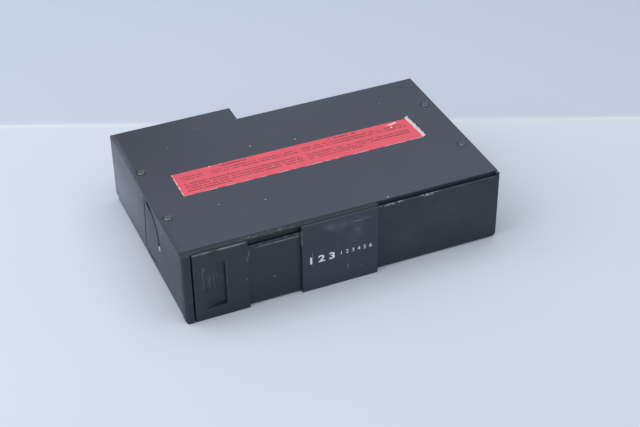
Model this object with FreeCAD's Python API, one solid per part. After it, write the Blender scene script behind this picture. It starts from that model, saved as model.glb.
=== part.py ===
"""Car CD changer: six discs in a magazine, a sliding door in two leaves, and a player that rides a lift.

Millimetres. X runs left to right, Y front to back, Z up. While it is built, the left front bottom
corner is at 0, 0, 0. Each piece is moved as it is saved, so that the origin lies under the middle of
the box.
"""
import FreeCAD, Part
import math
import os

Vector = FreeCAD.Vector

# ---- case ----
WIDTH = 255.0
DEPTH = 175.0
HEIGHT = 60.0
NOTCH_X = 100.5            # the back is stepped in to the right of this
NOTCH_DEPTH = 18.0
COVER_WALL = 1.0
CHASSIS_WALL = 1.2
WALL_GAP = 0.3             # between the cover's sides and the chassis walls
COVER_FRONT = 7.6          # front edge of the steel, behind the bezel
COVER_LOW = 6.0            # lower edge of the cover's sides
REAR_LIP = 8.0
CORNER_R = 1.5
PANEL_SINK = 0.8           # chassis walls end this far under the cover

VENT_LEFT = 20.0           # slots in the rear panel
VENT_WIDTH = 1.6
VENT_PITCH = 5.0
VENT_COUNT = 13
VENT_LOW = 14.0
VENT_TOP = 16.0            # from the top of the case down to the slots

# ---- cover screws ----
SCREW_INSET = 7.2
SCREW_FRONT_Y = 51.0
SCREW_REAR_Y = 115.3
DIMPLE_TOP_R = 4.4
DIMPLE_FLOOR_R = 3.4
DIMPLE_DEPTH = 1.0
SCREW_HEAD_R = 2.6
SCREW_HEAD_H = 0.85
SCREW_R = 1.3
SCREW_LENGTH = 5.0
CROSS_HALF = 0.3           # half width of the cross in the screw heads
CROSS_DEPTH = 0.5
SCREW_PLAY = 0.3           # hole in the cover round the shank
THREAD_PLAY = 0.05         # hole in the tab round the shank
TAB_LENGTH = 13.0
TAB_WIDTH = 12.0

# ---- label ----
LABEL_X = 26.5
LABEL_Y = 71.7
LABEL_LENGTH = 200.0
LABEL_WIDTH = 30.0
LABEL_T = 0.12

# ---- angle levers, one behind each side ----
PIVOT_Y = 79.6
PIVOT_DOWN = 27.6          # from the top of the case
PAD_R = 25.6               # D-shaped pad pressed into the cover's side
PAD_FLAT = 10.8            # from the pivot back to the pad's straight edge
PAD_TILT = 8.0             # its straight edge leans forward
PAD_SINK = 0.4
SLOT_R = 23.4
SLOT_WIDTH = 5.0
SLOT_LOW_ANGLE = 186.0     # lever at rest, measured in the side's plane from the rear, upwards
SLOT_SWEEP = 98.0
WALL_SLOT_MORE = 1.2       # the chassis wall's slot is this much wider than the cover's
LEVER_T = 1.2
LEVER_HUB_R = 5.0
LEVER_ARM_W = 5.0
KNOB_PLAY = 0.4
PEG_R = 0.6
PEG_OFFSET = 13.0          # spring pegs, in front of and behind the pivot
PIVOT_R = 2.0
PIVOT_HEAD_R = 3.2
PIVOT_HEAD_T = 0.8
PEG_EYE_R = 2.0
FIT = 0.05                 # running fit, radial
SPRING_R = 1.1
SPRING_WIRE = 0.25
SPRING_STAND = 1.8         # spring's middle behind the lever
SPRING_TURNS = 14
COIL_TURNS = 6             # the button's and the ejector's springs
LOOP_R = 1.1
LOOP_RISE = 4.0            # lower spring pegs above the deck

# ---- bezel and sliding door ----
POST_WIDTH = 6.3
DOOR_LEFT = 7.6
LEAF_STEP_X = 49.5
LEAF_SEAM_X = 90.8
DOOR_RIGHT = 152.0
LEAF_GAP = 0.3
LEAF_T = 2.0               # front wall of each leaf
RECESS_T = 1.4             # sunk part of the inner leaf, which slides behind the outer one
RECESS_DOWN = 5.5          # from the top of the case
LEAF_OVERLAP = 2.0         # the leaf's front-level part and its sunk part share this much
RECESS_LAP = 4.0           # how far the sunk part reaches behind the outer leaf when shut
PANEL_Y = 4.1              # face of the fixed panel and the rails
PANEL_T = 1.8
BAR_FRONT = 2.3            # fixed bar along the top, behind the leaves
BAR_T = 1.5
WEB_Y = 7.1                # the bar's web, under the cover
WEB_T = 1.7
TOP_FLANGE = 1.0
BOTTOM_FLANGE = 0.8
HOOK_DROP = 1.2            # upper hook behind the rail
HOOK_RISE = 2.0            # lower hook
HOOK_T = 0.6
RAIL_GAP = 0.3
BEZEL_END = 2.2            # end wall at the right, where the outer leaf stops
POST_R = 3.0
PANEL_R = 3.0              # lower right corner
PANEL_EDGE_R = 1.2
CHEEK_R = 1.0              # upper corner of the right end
LEAF_EDGE_R = 0.6          # upper front edge of each leaf
DUCT_T = 1.3
DUCT_LOW = 6.0
DUCT_DOWN = 6.0
DUCT_DEPTH = 12.0
GRIP_LEFT = 14.0
GRIP_RIGHT = 32.0
GRIP_LOW = 10.0
GRIP_DOWN = 11.0
GRIP_DEPTH = 2.3
GRIP_WALL = 1.3
GRIP_FLAT = 3.0            # deepest part of the grip, beside its right wall
RIB_COUNT = 9
RIB_LEFT = 15.7
RIB_RIGHT = 28.6
RIB_LOW = 24.5
RIB_HIGH = 34.3
RIB_T = 0.5
RIB_STAND = 0.35           # ribs stand this far out of the grip's floor
BEZEL_SCREW_INSETS = (24.0, 24.0, 50.0)    # from the left, from the doorway's right, from the right
BEZEL_SCREW_Y = 11.0
BOSS_HALF = 4.0
BOSS_SKIN = 0.8            # plastic left over the screw's end
BEZEL_RIB_INSETS = (77.0, 51.0, 25.0)      # from the right
STEEL_GAP = 0.2            # between the bezel and the steel behind it

# ---- eject button ----
BUTTON_LEFT = 148.1
BUTTON_WIDTH = 3.0
BUTTON_DOWN = 10.0         # from the top of the case
BUTTON_LENGTH = 12.0
BUTTON_FRONT = 7.2
BUTTON_PLATE_T = 1.5
BUTTON_LIP = 0.5           # flange behind the plate, at the sides
BUTTON_LIP_Z = 1.5         # and above and below
BUTTON_LIP_T = 0.9
BUTTON_SPRING_R = 1.3
BUTTON_STOP_Y = 15.2       # bracket behind the button's spring

# ---- floating deck ----
DECK_LOW = 9.4
DECK_T = 1.2
DECK_LEFT = 5.4
DECK_RIGHT_GAP = 4.8       # from the right of the case
DECK_FRONT = 9.0
DECK_REAR_GAP = 1.0        # from the rear panel
FLOAT = 1.5                # travel up and down on the springs and dampers
BODY_GAP = 0.3             # between pieces that move past each other
DAMPER_LEFT = 17.0
DAMPER_REAR_LEFT = 24.0
DAMPER_RIGHT = 19.0        # from the right of the case
DAMPER_FRONT = 22.0
DAMPER_REAR = 9.0          # from the step in the back
DAMPER_R = 4.6
DAMPER_H = 6.4
STUD_R = 1.6
STUD_LENGTH = 4.4
TAB_T = 1.0                # sheet tabs on the deck
GUIDE_T = 1.2              # magazine guides
GUIDE_GAP = 0.4
GUIDE_H = 3.0
MAG_STOP_LEFT = 60.0
MAG_STOP_WIDTH = 12.0
MAG_STOP_H = 15.4
POST_ROD_R = 1.5
POST_FRONT_Y = 14.0
SLEEVE_R = 2.4
BRACKET_X = 35.0           # from each side
BRACKET_Y = 18.0
BRACKET_BACK = 9.0         # from the step in the back
BRACKET_HOLE_R = 1.65
NUT_R = 3.6
NUT_H = 2.4

# ---- discs, trays and magazine ----
DISC_COUNT = 6
DISC_R = 60.0
DISC_HOLE_R = 7.5
DISC_T = 1.2
DISC_X = 78.0              # disc centre when stored
STACK_ROOM = 26.5          # height that the stack of trays leaves under the cover
TRAY_LOW = 12.8            # underside of the lowest tray
TRAY_T = 2.6
TRAY_FLOOR = 1.0
TRAY_LEFT = 11.5
TRAY_RIGHT = 145.0
TRAY_FRONT = 17.8
TRAY_BACK_GAP = 1.8        # from the tray to the outside of the magazine
RACK_SPARE = 3             # rack teeth beyond the travel, at each end
TRAY_PLAY = 0.5            # disc recess, radial
TRAVEL_ROOM = 161.0        # width of the case less the travel of a tray
SLOT_HALF = 12.6           # half the tray's opening for the turntable and the lens
MAG_WALL = 1.4
MAG_LEFT = 9.0
MAG_RIGHT = 147.0
MAG_FRONT = 16.0
MAG_STEP_GAP = 11.0        # from the magazine to the step in the back
MAG_BACK_END = 136.0       # its back wall stops here, clear of the tray drive gear
RUNNER_DEPTH = 2.6
RUNNER_T = 1.0

# ---- ejector arm behind the magazine ----
EJECTOR_X = 30.0
EJECTOR_STAND = 5.0        # its pin behind the magazine
EJECTOR_RISE = 6.0
EJECTOR_T = 2.0
EJECTOR_REACH = 22.0
EJECTOR_HUB_R = 3.6
ROLLER_R = 2.2
ROLLER_RISE = 1.5

# ---- tray drive ----
MODULE = 0.5
BACKLASH = 0.16
TRAY_GEAR_TEETH = 12
TRAY_DRIVE_TEETH = 26
LIFT_TEETH = 32
PINION_TEETH = 10
DRIVE_X = 141.5
DRIVE_LOW = 4.6            # gears under the deck
DRIVE_T = 1.8
HEX_FLATS = 3.0
HEX_PLAY = 0.08
JOURNAL_R = 1.8
SHAFT_DOWN = 5.0           # top of the shaft's hexagon under the cover
JOURNAL_LAP = 0.4          # round ends of the shaft run this far past the deck and the shelf
BRIDGE_POST_W = 4.4
BRIDGE_EAR = 3.0
TRAY_PINION_ANGLE = 12.2
MOTOR_R = 5.0
MOTOR_HALF = 3.6
MOTOR_H = 17.0
MOTOR_SHAFT_R = 0.75
MOTOR_CAP_R = 2.0
MOTOR_CAP_H = 1.2
TAG_OFFSET = 3.2           # solder tags, each side of the cap
TAG_HALF = 0.4
TAG_H = 2.0

# ---- lift ----
PLAY_LIFT = 3.2            # the lift raises a disc this far off its tray
FRAME_GAP = 1.6            # between a tray drawn out and the lift frame's wall
FRAME_T = 1.2
LIFT_SCREW_FRONT = 20.0    # lift screw in front of the rear guide post
FRAME_RISE = 4.4           # lift frame above the lowest tray
LIFT_STAND = 1.8
LIFT_SCREW_R = 1.5
LIFT_NUT_R = 2.6
FORK_LEFT = 4.0            # fork round the tray gear, each side of the shaft
FORK_RIGHT = 3.2
GEAR_INSET = 0.2           # tray gear within the tray's thickness
LIFT_PINION_ANGLE = -78.0

# ---- player ----
TRAVERSE_LOW = 7.6
TRAVERSE_T = 1.2
TRAVERSE_REACH_X = 18.0    # from the spindle to the plate's left end
TRAVERSE_REACH_FRONT = 25.0
TRAVERSE_REACH_BACK = 29.0
SPINDLE_R = 11.0
SPINDLE_H = 4.2
SEAT_Z = 11.4              # the turntable's disc seat
CONE_TOP = 12.4
TURNTABLE_R = 12.0
TURNTABLE_T = 1.6
SPINDLE_SHAFT_R = 1.6
ARM_LOW = 17.4
ARM_T = 0.8
ARM_HALF = 17.0
ARM_TIP = 6.0
ARM_NOSE_R = 7.5
ARM_BARREL_R = 1.4
ARM_STAND = 2.3            # hinge in front of the lift frame's wall
EAR_T = 1.4
ARM_PIN_R = 0.8
PUCK_R = 10.0
PUCK_LOW = 15.9
PUCK_T = 1.2
PUCK_HUB_R = 3.0
PUCK_RECESS = 0.5
PUCK_CAP_R = 4.6
PUCK_CAP_T = 0.4
ROD_R = 1.0
ROD_Z = 6.2
ROD_SPREAD = 14.0          # guide rods, each side of the disc's centre line
SLED_REACH = 25.0          # lens from the spindle at rest
SLED_HALF = 9.0
SLED_EDGE = 3.2            # sled beyond the rods
SLED_ROOM = 1.0            # window round the sled
HOLDER_T = 1.6
ROD_HOLDER = 2.0           # material under the rods' middle
NUT_HALF = 4.0
NUT_WALL = 0.9
SLED_LOW = 4.4
SLED_TOP = 8.6
LENS_R = 3.2
LENS_TOP = 10.3
SCREW_LINE = 22.5          # feed screw behind the spindle
FEED_R = 1.2
FEED_MOTOR_R = 2.8
FEED_MOTOR_LENGTH = 16.0

# ---- electronics and sockets ----
BOARD_LEFT = 42.0
BOARD_RIGHT = 146.0
BOARD_FRONT = 30.0
BOARD_REAR_GAP = 8.0       # from the back of the magazine
BOARD_INSET = 5.0          # spacers, from the board's edges
BOARD_LOW = 2.8
BOARD_T = 1.4
SPACER_R = 2.4
CHIP_T = 1.6
LEG_PITCH = 1.6
LEG_T = 0.5
LEG_WIDTH = 0.64
LEG_REACH = 1.0
CHIPS = ((22.0, 26.0, 9.0, 6.0), (56.0, 28.0, 7.0, 7.0), (82.0, 22.0, 6.0, 4.0), (34.0, 64.0, 8.0, 5.0),
         (70.0, 70.0, 10.0, 5.0))         # middle, from the board's corner, and half sizes
ROUND_PLACES = ((10.0, 48.0), (16.0, 80.0), (50.0, 48.0), (52.0, 88.0), (86.0, 48.0), (90.0, 92.0),
                (28.0, 94.0), (94.0, 32.0))
ROUND_R = 2.4
ROUND_H = 2.6
PLUG_SIDE = 2.0            # connector beyond the ribbon
PLUG_DEPTH = 4.0
PLUG_T = 2.6
PLUG_INSET = 6.0
PLUG_STAND = 3.0           # connector on the power board
PLUG_RISE = 1.0
RIBBON_RISE = 1.4
RIBBON_LEFT = 54.0
RIBBON_RIGHT = 74.0
RIBBON_T = 0.3
POWER_BOARD_GAP = 16.5     # from the rear panel
POWER_BOARD_LEFT = 9.0
POWER_BOARD_RIGHT = 82.0
POWER_BOARD_LOW = 4.0
POWER_BOARD_DOWN = 10.0
FOOT_WIDTH = 6.0
FOOT_INSET = 6.0
CAN_R = 4.0
CAN_LENGTH = 10.5
CAN_COUNT = 4
CAN_PITCH = 10.5
CAN_INSET = 8.0
CAN_DOWN = 10.0            # from the board's top edge
SINK_INSET = 4.0
SINK_LENGTH = 39.4
SINK_LOW = 9.0
SINK_HEIGHT = 21.0
SINK_BASE = 2.0
FIN_COUNT = 9
FIN_T = 1.4
FIN_DEPTH = 10.0
SOCKET_BACK = 7.3          # sockets behind the step
SOCKET_DEPTH = 13.0
SOCKET_LIP = 1.0           # the mouths stand out of the panel
SOCKET_WALL = 1.2
PIN_LENGTH = 5.0
BUS_PINS = 8
BUS_PIN_RING = 3.2
POWER_Z = 19.0
POWER_HALF = 6.0
BUS_DOWN = 18.0            # from the top of the case
BUS_R = 6.6

# ---- places worked out from the sizes above ----
COVER_UNDER = HEIGHT - COVER_WALL
VENT_HIGH = HEIGHT - VENT_TOP
PIVOT_Z = HEIGHT - PIVOT_DOWN
STEP_Y = DEPTH - NOTCH_DEPTH
WALL_X = COVER_WALL + WALL_GAP             # outer face of the chassis wall
INNER_X = WALL_X + CHASSIS_WALL
WALL_TOP = COVER_UNDER - PANEL_SINK
TAB_TOP = COVER_UNDER - DIMPLE_DEPTH
REAR_Y = DEPTH - COVER_WALL                # outer face of the rear panel
REAR_STEP_Y = STEP_Y - COVER_WALL
SOCKET_Y = STEP_Y + SOCKET_BACK
BUS_Z = HEIGHT - BUS_DOWN
SOCKET_FLOOR = NOTCH_X - SOCKET_DEPTH
SOCKET_FACE = NOTCH_X - COVER_WALL         # outside of the panel's step, where the sockets are
SCREW_PLACES = [(x, y) for x in (SCREW_INSET, WIDTH - SCREW_INSET) for y in (SCREW_FRONT_Y, SCREW_REAR_Y)]
RAIL_BACK = PANEL_Y + PANEL_T
RECESS_TOP = HEIGHT - RECESS_DOWN
DUCT_HIGH = HEIGHT - DUCT_DOWN
GRIP_HIGH = HEIGHT - GRIP_DOWN
BEZEL_SCREW_XS = (BEZEL_SCREW_INSETS[0], DOOR_RIGHT - BEZEL_SCREW_INSETS[1], WIDTH - BEZEL_SCREW_INSETS[2])
BEZEL_RIB_XS = [WIDTH - inset for inset in BEZEL_RIB_INSETS]
BUTTON_HIGH = HEIGHT - BUTTON_DOWN
BUTTON_LOW = BUTTON_HIGH - BUTTON_LENGTH
BUTTON_BACK = DUCT_DEPTH + BODY_GAP + BUTTON_LIP_T
HOOK_Y = RAIL_BACK + RAIL_GAP
HOOK_BACK = HOOK_Y + HOOK_T
FLANGE_TOP = HEIGHT - BAR_T - RAIL_GAP     # the leaves' upper flange runs under the bar
FLANGE_LOW = FLANGE_TOP - TOP_FLANGE
RAIL_TOP = FLANGE_LOW - RAIL_GAP
RAIL_LOW = BOTTOM_FLANGE + RAIL_GAP
RECESS_LOW = RAIL_LOW + RAIL_GAP
DECK_TOP = DECK_LOW + DECK_T
DECK_RIGHT = WIDTH - DECK_RIGHT_GAP
DECK_REAR = REAR_STEP_Y - CHASSIS_WALL - DECK_REAR_GAP
DAMPER_PLACES = ((DAMPER_LEFT, DAMPER_FRONT), (DAMPER_REAR_LEFT, STEP_Y - DAMPER_REAR),
                 (WIDTH - DAMPER_RIGHT, DAMPER_FRONT), (WIDTH - DAMPER_RIGHT, STEP_Y - DAMPER_REAR))
MAG_BACK = STEP_Y - MAG_STEP_GAP
TRAY_REAR = MAG_BACK - TRAY_BACK_GAP
DISC_Y = (TRAY_FRONT + TRAY_REAR) / 2
TRAY_PITCH = (COVER_UNDER - STACK_ROOM) / (DISC_COUNT - 1)
TRAY_TRAVEL = WIDTH - TRAVEL_ROOM
SHAFT_TOP = COVER_UNDER - SHAFT_DOWN
EJECTOR_Y = MAG_BACK + EJECTOR_STAND
MAG_LOW = DECK_TOP + BODY_GAP
TRAY_SPAN = (DISC_COUNT - 1) * TRAY_PITCH
MAG_HIGH = TRAY_LOW + TRAY_SPAN + TRAY_T + BODY_GAP + MAG_WALL
TRAY_GEAR_R = MODULE * TRAY_GEAR_TEETH / 2
PINION_R = MODULE * PINION_TEETH / 2
TRAY_CENTRES = MODULE * TRAY_DRIVE_TEETH / 2 + PINION_R
LIFT_CENTRES = MODULE * LIFT_TEETH / 2 + PINION_R
RACK_LINE = TRAY_REAR - MODULE             # pitch line of the tray's rack
DRIVE_Y = RACK_LINE + TRAY_GEAR_R
TRAY_PINION_X = DRIVE_X + TRAY_CENTRES * math.cos(math.radians(TRAY_PINION_ANGLE))
TRAY_PINION_Y = DRIVE_Y + TRAY_CENTRES * math.sin(math.radians(TRAY_PINION_ANGLE))
FRAME_X = TRAY_RIGHT + TRAY_TRAVEL + FRAME_GAP
LIFT_X = FRAME_X + FRAME_T + LIFT_STAND    # lift screw and guide posts, outside the frame's wall
POST_REAR_Y = MAG_BACK
LIFT_Y = POST_REAR_Y - LIFT_SCREW_FRONT
LIFT_PINION_X = LIFT_X + LIFT_CENTRES * math.cos(math.radians(LIFT_PINION_ANGLE))
LIFT_PINION_Y = LIFT_Y + LIFT_CENTRES * math.sin(math.radians(LIFT_PINION_ANGLE))
ARM_HINGE_X = FRAME_X - ARM_STAND
GEAR_LOW = TRAY_LOW + GEAR_INSET
GEAR_HIGH = TRAY_LOW + TRAY_T - GEAR_INSET
TRAVERSE_TOP = TRAVERSE_LOW + TRAVERSE_T
FRAME_LOW = DECK_TOP + 2 * BODY_GAP        # the lift frame's upper part rests above the deck
FRAME_HIGH = TRAY_LOW + TRAY_T + FRAME_RISE
LIFT_TRAVEL = TRAY_SPAN + PLAY_LIFT
POST_TOP = FRAME_HIGH + LIFT_TRAVEL + FLOAT
SPINDLE_X = DISC_X + TRAY_TRAVEL
TRAVERSE_LEFT = SPINDLE_X - TRAVERSE_REACH_X
TRAVERSE_FRONT = DISC_Y - TRAVERSE_REACH_FRONT
TRAVERSE_REAR = DISC_Y + TRAVERSE_REACH_BACK
SCREW_LINE_Y = DISC_Y + SCREW_LINE
ROD_YS = (DISC_Y - ROD_SPREAD, DISC_Y + ROD_SPREAD)
LENS_X = SPINDLE_X + SLED_REACH
SLED_LEFT = LENS_X - SLED_HALF
SLED_RIGHT = LENS_X + SLED_HALF
SLED_FRONT = ROD_YS[0] - SLED_EDGE
SLED_BACK = ROD_YS[1] + SLED_EDGE
NUT_BACK = SCREW_LINE_Y + FEED_R + NUT_WALL
ROD_HOLDER_X = SLED_LEFT - SLED_ROOM - HOLDER_T
FEED_MOTOR_X = TRAVERSE_LEFT + HOLDER_T
RAIL_Y = DECK_REAR - FRAME_T + BODY_GAP    # rear rail of the lift frame
LEVER_X = INNER_X + BODY_GAP
LEVER_BACK = LEVER_X + LEVER_T
SPRING_X = LEVER_BACK + SPRING_STAND
SPRING_YS = (PIVOT_Y - PEG_OFFSET, PIVOT_Y + PEG_OFFSET)
LOOP_LOW = DECK_TOP + LOOP_RISE
EJECTOR_LOW = DECK_TOP + EJECTOR_RISE
EJECTOR_TOP = EJECTOR_LOW + EJECTOR_T
BRACKET_PLACES = [(x, y) for x in (BRACKET_X, WIDTH - BRACKET_X) for y in (BRACKET_Y, STEP_Y - BRACKET_BACK)]
BOARD_REAR = MAG_BACK - BOARD_REAR_GAP
POWER_BOARD_Y = REAR_Y - POWER_BOARD_GAP
POWER_BOARD_HIGH = HEIGHT - POWER_BOARD_DOWN


# ---------------------------------------------------------------- shapes

def block(x0, x1, y0, y1, z0, z1):
    return Part.makeBox(x1 - x0, y1 - y0, z1 - z0, Vector(x0, y0, z0))


def rod_x(x0, x1, y, z, r):
    return Part.makeCylinder(r, x1 - x0, Vector(x0, y, z), Vector(1, 0, 0))


def rod_y(x, y0, y1, z, r):
    return Part.makeCylinder(r, y1 - y0, Vector(x, y0, z), Vector(0, 1, 0))


def rod_z(x, y, z0, z1, r):
    return Part.makeCylinder(r, z1 - z0, Vector(x, y, z0), Vector(0, 0, 1))


def ring_z(x, y, z0, z1, outer, inner):
    return rod_z(x, y, z0, z1, outer).cut(rod_z(x, y, z0, z1, inner))


def face_of(points):
    return Part.Face(Part.makePolygon([Vector(*p) for p in points + points[:1]]))


def prism_z(points, z0, z1):
    return face_of([(x, y, z0) for x, y in points]).extrude(Vector(0, 0, z1 - z0))


def prism_x(points, x0, x1):
    return face_of([(x0, y, z) for y, z in points]).extrude(Vector(x1 - x0, 0, 0))


def joined(shapes):
    """One solid from shapes that meet."""
    return shapes[0].multiFuse(shapes[1:]).removeSplitter() if len(shapes) > 1 else shapes[0]


def without(shape, tools):
    return shape.cut(tools[0] if len(tools) == 1 else tools[0].multiFuse(tools[1:]))


def mirrored(shape):
    """The same piece on the other side of the case."""
    return shape.mirror(Vector(WIDTH / 2, 0, 0), Vector(1, 0, 0))


def vertical_edges(shape, x, y):
    """The upright edges of a shape that stand at x, y."""
    def stands_there(edge):
        ends = [v.Point for v in edge.Vertexes]
        return len(ends) == 2 and all(abs(p.x - x) + abs(p.y - y) < 0.01 for p in ends)
    return [edge for edge in shape.Edges if stands_there(edge)]


def edges_along_y(shape, x, z):
    """The edges of a shape that run front to back at x, z."""
    def lies_there(edge):
        ends = [v.Point for v in edge.Vertexes]
        return len(ends) == 2 and all(abs(p.x - x) + abs(p.z - z) < 0.01 for p in ends)
    return [edge for edge in shape.Edges if lies_there(edge)]


# ---------------------------------------------------------------- gears

def half_angle(r, teeth):
    """Half the angle that an involute tooth covers at radius r."""
    pressure = math.radians(20)
    pitch = MODULE * teeth / 2
    base = pitch * math.cos(pressure)
    here = math.acos(min(1.0, base / r))
    spread = (math.tan(pressure) - pressure) - (math.tan(here) - here)
    return math.pi / 2 / teeth + spread - BACKLASH / 2 / pitch


def gear(teeth, x, y, z0, z1, tooth_at):
    """A spur gear that turns about Z, with one tooth pointing at the angle tooth_at."""
    pitch = MODULE * teeth / 2
    radii = [pitch - 1.2 * MODULE, pitch - 0.5 * MODULE, pitch, pitch + 0.5 * MODULE, pitch + 0.9 * MODULE]
    points = []
    for tooth in range(teeth):
        middle = math.radians(tooth_at) + 2 * math.pi * tooth / teeth
        flank = [(r, half_angle(r, teeth)) for r in radii]
        sides = [(r, middle - a) for r, a in flank] + [(r, middle + a) for r, a in reversed(flank)]
        points += [(x + r * math.cos(a), y + r * math.sin(a)) for r, a in sides]
    return prism_z(points, z0, z1)


def rack_steps(start, count):
    """Tooth outline along a rack: distance along it, and height above its pitch line."""
    pitch = math.pi * MODULE
    slope = math.tan(math.radians(20))
    half = pitch / 4 - BACKLASH / 2
    low, high = -1.2 * MODULE, 0.9 * MODULE
    steps = []
    for tooth in range(count):
        middle = start + tooth * pitch
        steps += [(middle - half + low * slope, low), (middle - half + high * slope, high)]
        steps += [(middle + half - high * slope, high), (middle + half - low * slope, low)]
    return steps


# ---------------------------------------------------------------- case

def case_outline(inset, rear_inset):
    """L-shaped plan of the case, open to the front edge of the steel."""
    return [(inset, COVER_FRONT), (WIDTH - inset, COVER_FRONT), (WIDTH - inset, STEP_Y - rear_inset),
            (NOTCH_X - rear_inset, STEP_Y - rear_inset), (NOTCH_X - rear_inset, DEPTH - rear_inset),
            (inset, DEPTH - rear_inset)]


def slot_point(angle, r=SLOT_R):
    a = math.radians(angle)
    return PIVOT_Y + r * math.cos(a), PIVOT_Z + r * math.sin(a)


def arc_slot(x0, x1, width, spare):
    """The curved slot in a side, a ring's sector with round ends."""
    ring = rod_x(x0, x1, PIVOT_Y, PIVOT_Z, SLOT_R + width / 2)
    ring = ring.cut(rod_x(x0, x1, PIVOT_Y, PIVOT_Z, SLOT_R - width / 2))
    first, last = SLOT_LOW_ANGLE + spare, SLOT_LOW_ANGLE - SLOT_SWEEP - spare
    middle = (first + last) / 2
    reach = 3 * PAD_R
    wedge = prism_x([(PIVOT_Y, PIVOT_Z)] + [slot_point(a, reach) for a in (first, middle, last)], x0, x1)
    ends = [rod_x(x0, x1, *slot_point(a), width / 2) for a in (first, last)]
    return joined([ring.common(wedge)] + ends)


def pad(x0, x1, r):
    """The D of the pressed pad."""
    disc = rod_x(x0, x1, PIVOT_Y, PIVOT_Z, r)
    flat = PIVOT_Y + PAD_FLAT - (PAD_R - r)
    half = block(x0, x1, PIVOT_Y - r, flat, PIVOT_Z - r, PIVOT_Z + r)
    half.rotate(Vector(0, PIVOT_Y, PIVOT_Z), Vector(1, 0, 0), PAD_TILT)
    return disc.common(half)


def dimple(x, y):
    cup = rod_z(x, y, COVER_UNDER - DIMPLE_DEPTH, COVER_UNDER, DIMPLE_TOP_R)
    hollow = Part.makeCone(DIMPLE_FLOOR_R, DIMPLE_TOP_R, COVER_WALL, Vector(x, y, COVER_UNDER))
    hole = rod_z(x, y, COVER_UNDER - 2 * DIMPLE_DEPTH, HEIGHT, SCREW_R + SCREW_PLAY)
    return cup, hollow, hole


def top_cover():
    shell = prism_z(case_outline(0, 0), COVER_LOW, HEIGHT)
    shell = shell.makeFillet(CORNER_R, vertical_edges(shell, 0, DEPTH))
    inner = prism_z(case_outline(COVER_WALL, COVER_WALL), COVER_LOW, COVER_UNDER)
    behind = block(COVER_WALL, WIDTH - COVER_WALL, COVER_FRONT, DEPTH, COVER_LOW, HEIGHT - REAR_LIP)
    body = without(shell, [inner, behind])
    for side in (pad(0, COVER_WALL, PAD_R), mirrored(pad(0, COVER_WALL, PAD_R))):
        body = body.cut(side)
    plate = pad(PAD_SINK, COVER_WALL + PAD_SINK / 2, PAD_R)
    body = joined([body, plate, mirrored(plate)])
    slot = arc_slot(0, 2 * COVER_WALL, SLOT_WIDTH, 0)
    cups, hollows, holes = zip(*[dimple(x, y) for x, y in SCREW_PLACES])
    body = joined([body] + list(cups))
    return without(body, [slot, mirrored(slot)] + list(hollows) + list(holes))


def cover_screw(x, y):
    seat = COVER_UNDER
    head = rod_z(x, y, seat, seat + SCREW_HEAD_H, SCREW_HEAD_R)
    head = head.makeChamfer(SCREW_HEAD_H / 3, [head.Edges[0]])
    shank = rod_z(x, y, seat - SCREW_LENGTH, seat, SCREW_R)
    arm, deep = SCREW_HEAD_R * 0.62, SCREW_HEAD_H * 0.7
    top = seat + SCREW_HEAD_H
    cross = [block(x - arm, x + arm, y - CROSS_HALF, y + CROSS_HALF, top - deep, top),
             block(x - CROSS_HALF, x + CROSS_HALF, y - arm, y + arm, top - deep, top)]
    return without(joined([head, shank]), cross)


def cover_screws():
    return [cover_screw(x, y) for x, y in SCREW_PLACES]


def tab(x, y):
    """Folded tab of a chassis wall, under one cover screw."""
    left = WALL_X if x < WIDTH / 2 else WIDTH - WALL_X - TAB_LENGTH
    plate = block(left, left + TAB_LENGTH, y - TAB_WIDTH / 2, y + TAB_WIDTH / 2,
                  TAB_TOP - CHASSIS_WALL, TAB_TOP)
    return plate, rod_z(x, y, TAB_TOP - CHASSIS_WALL, TAB_TOP, SCREW_R + THREAD_PLAY)


def chassis_side():
    """Left wall with its curved slot and the stud that the angle lever turns on."""
    wall = block(WALL_X, INNER_X, COVER_FRONT, REAR_Y - CHASSIS_WALL, 0, TAB_TOP - CHASSIS_WALL)
    wall = wall.cut(arc_slot(WALL_X, INNER_X, SLOT_WIDTH + WALL_SLOT_MORE, 4))
    reach = INNER_X + BODY_GAP + LEVER_T + BODY_GAP
    stud = rod_x(INNER_X, reach, PIVOT_Y, PIVOT_Z, PIVOT_R)
    head = rod_x(reach, reach + PIVOT_HEAD_T, PIVOT_Y, PIVOT_Z, PIVOT_HEAD_R)
    return joined([wall, stud, head])


def bottom_chassis():
    floor = prism_z(case_outline(WALL_X, COVER_WALL + CHASSIS_WALL), 0, CHASSIS_WALL)
    short = block(WIDTH / 2, WIDTH, REAR_STEP_Y - CHASSIS_WALL, DEPTH, -1, HEIGHT)
    sides = [chassis_side(), mirrored(chassis_side()).cut(short)]
    tabs, holes = zip(*[tab(x, y) for x, y in SCREW_PLACES])
    spacers = [rod_z(x, y, CHASSIS_WALL, BOARD_LOW, SPACER_R) for x, y in board_corners()]
    body = joined([floor] + sides + list(tabs) + spacers)
    bracket_holes = [rod_z(x, y, 0, CHASSIS_WALL, BRACKET_HOLE_R) for x, y in BRACKET_PLACES]
    sinks = [Part.makeCone(SCREW_HEAD_R, SCREW_R + THREAD_PLAY, CHASSIS_WALL, Vector(x, BEZEL_SCREW_Y, 0))
             for x in BEZEL_SCREW_XS]
    return without(body, list(holes) + bracket_holes + sinks)


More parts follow.
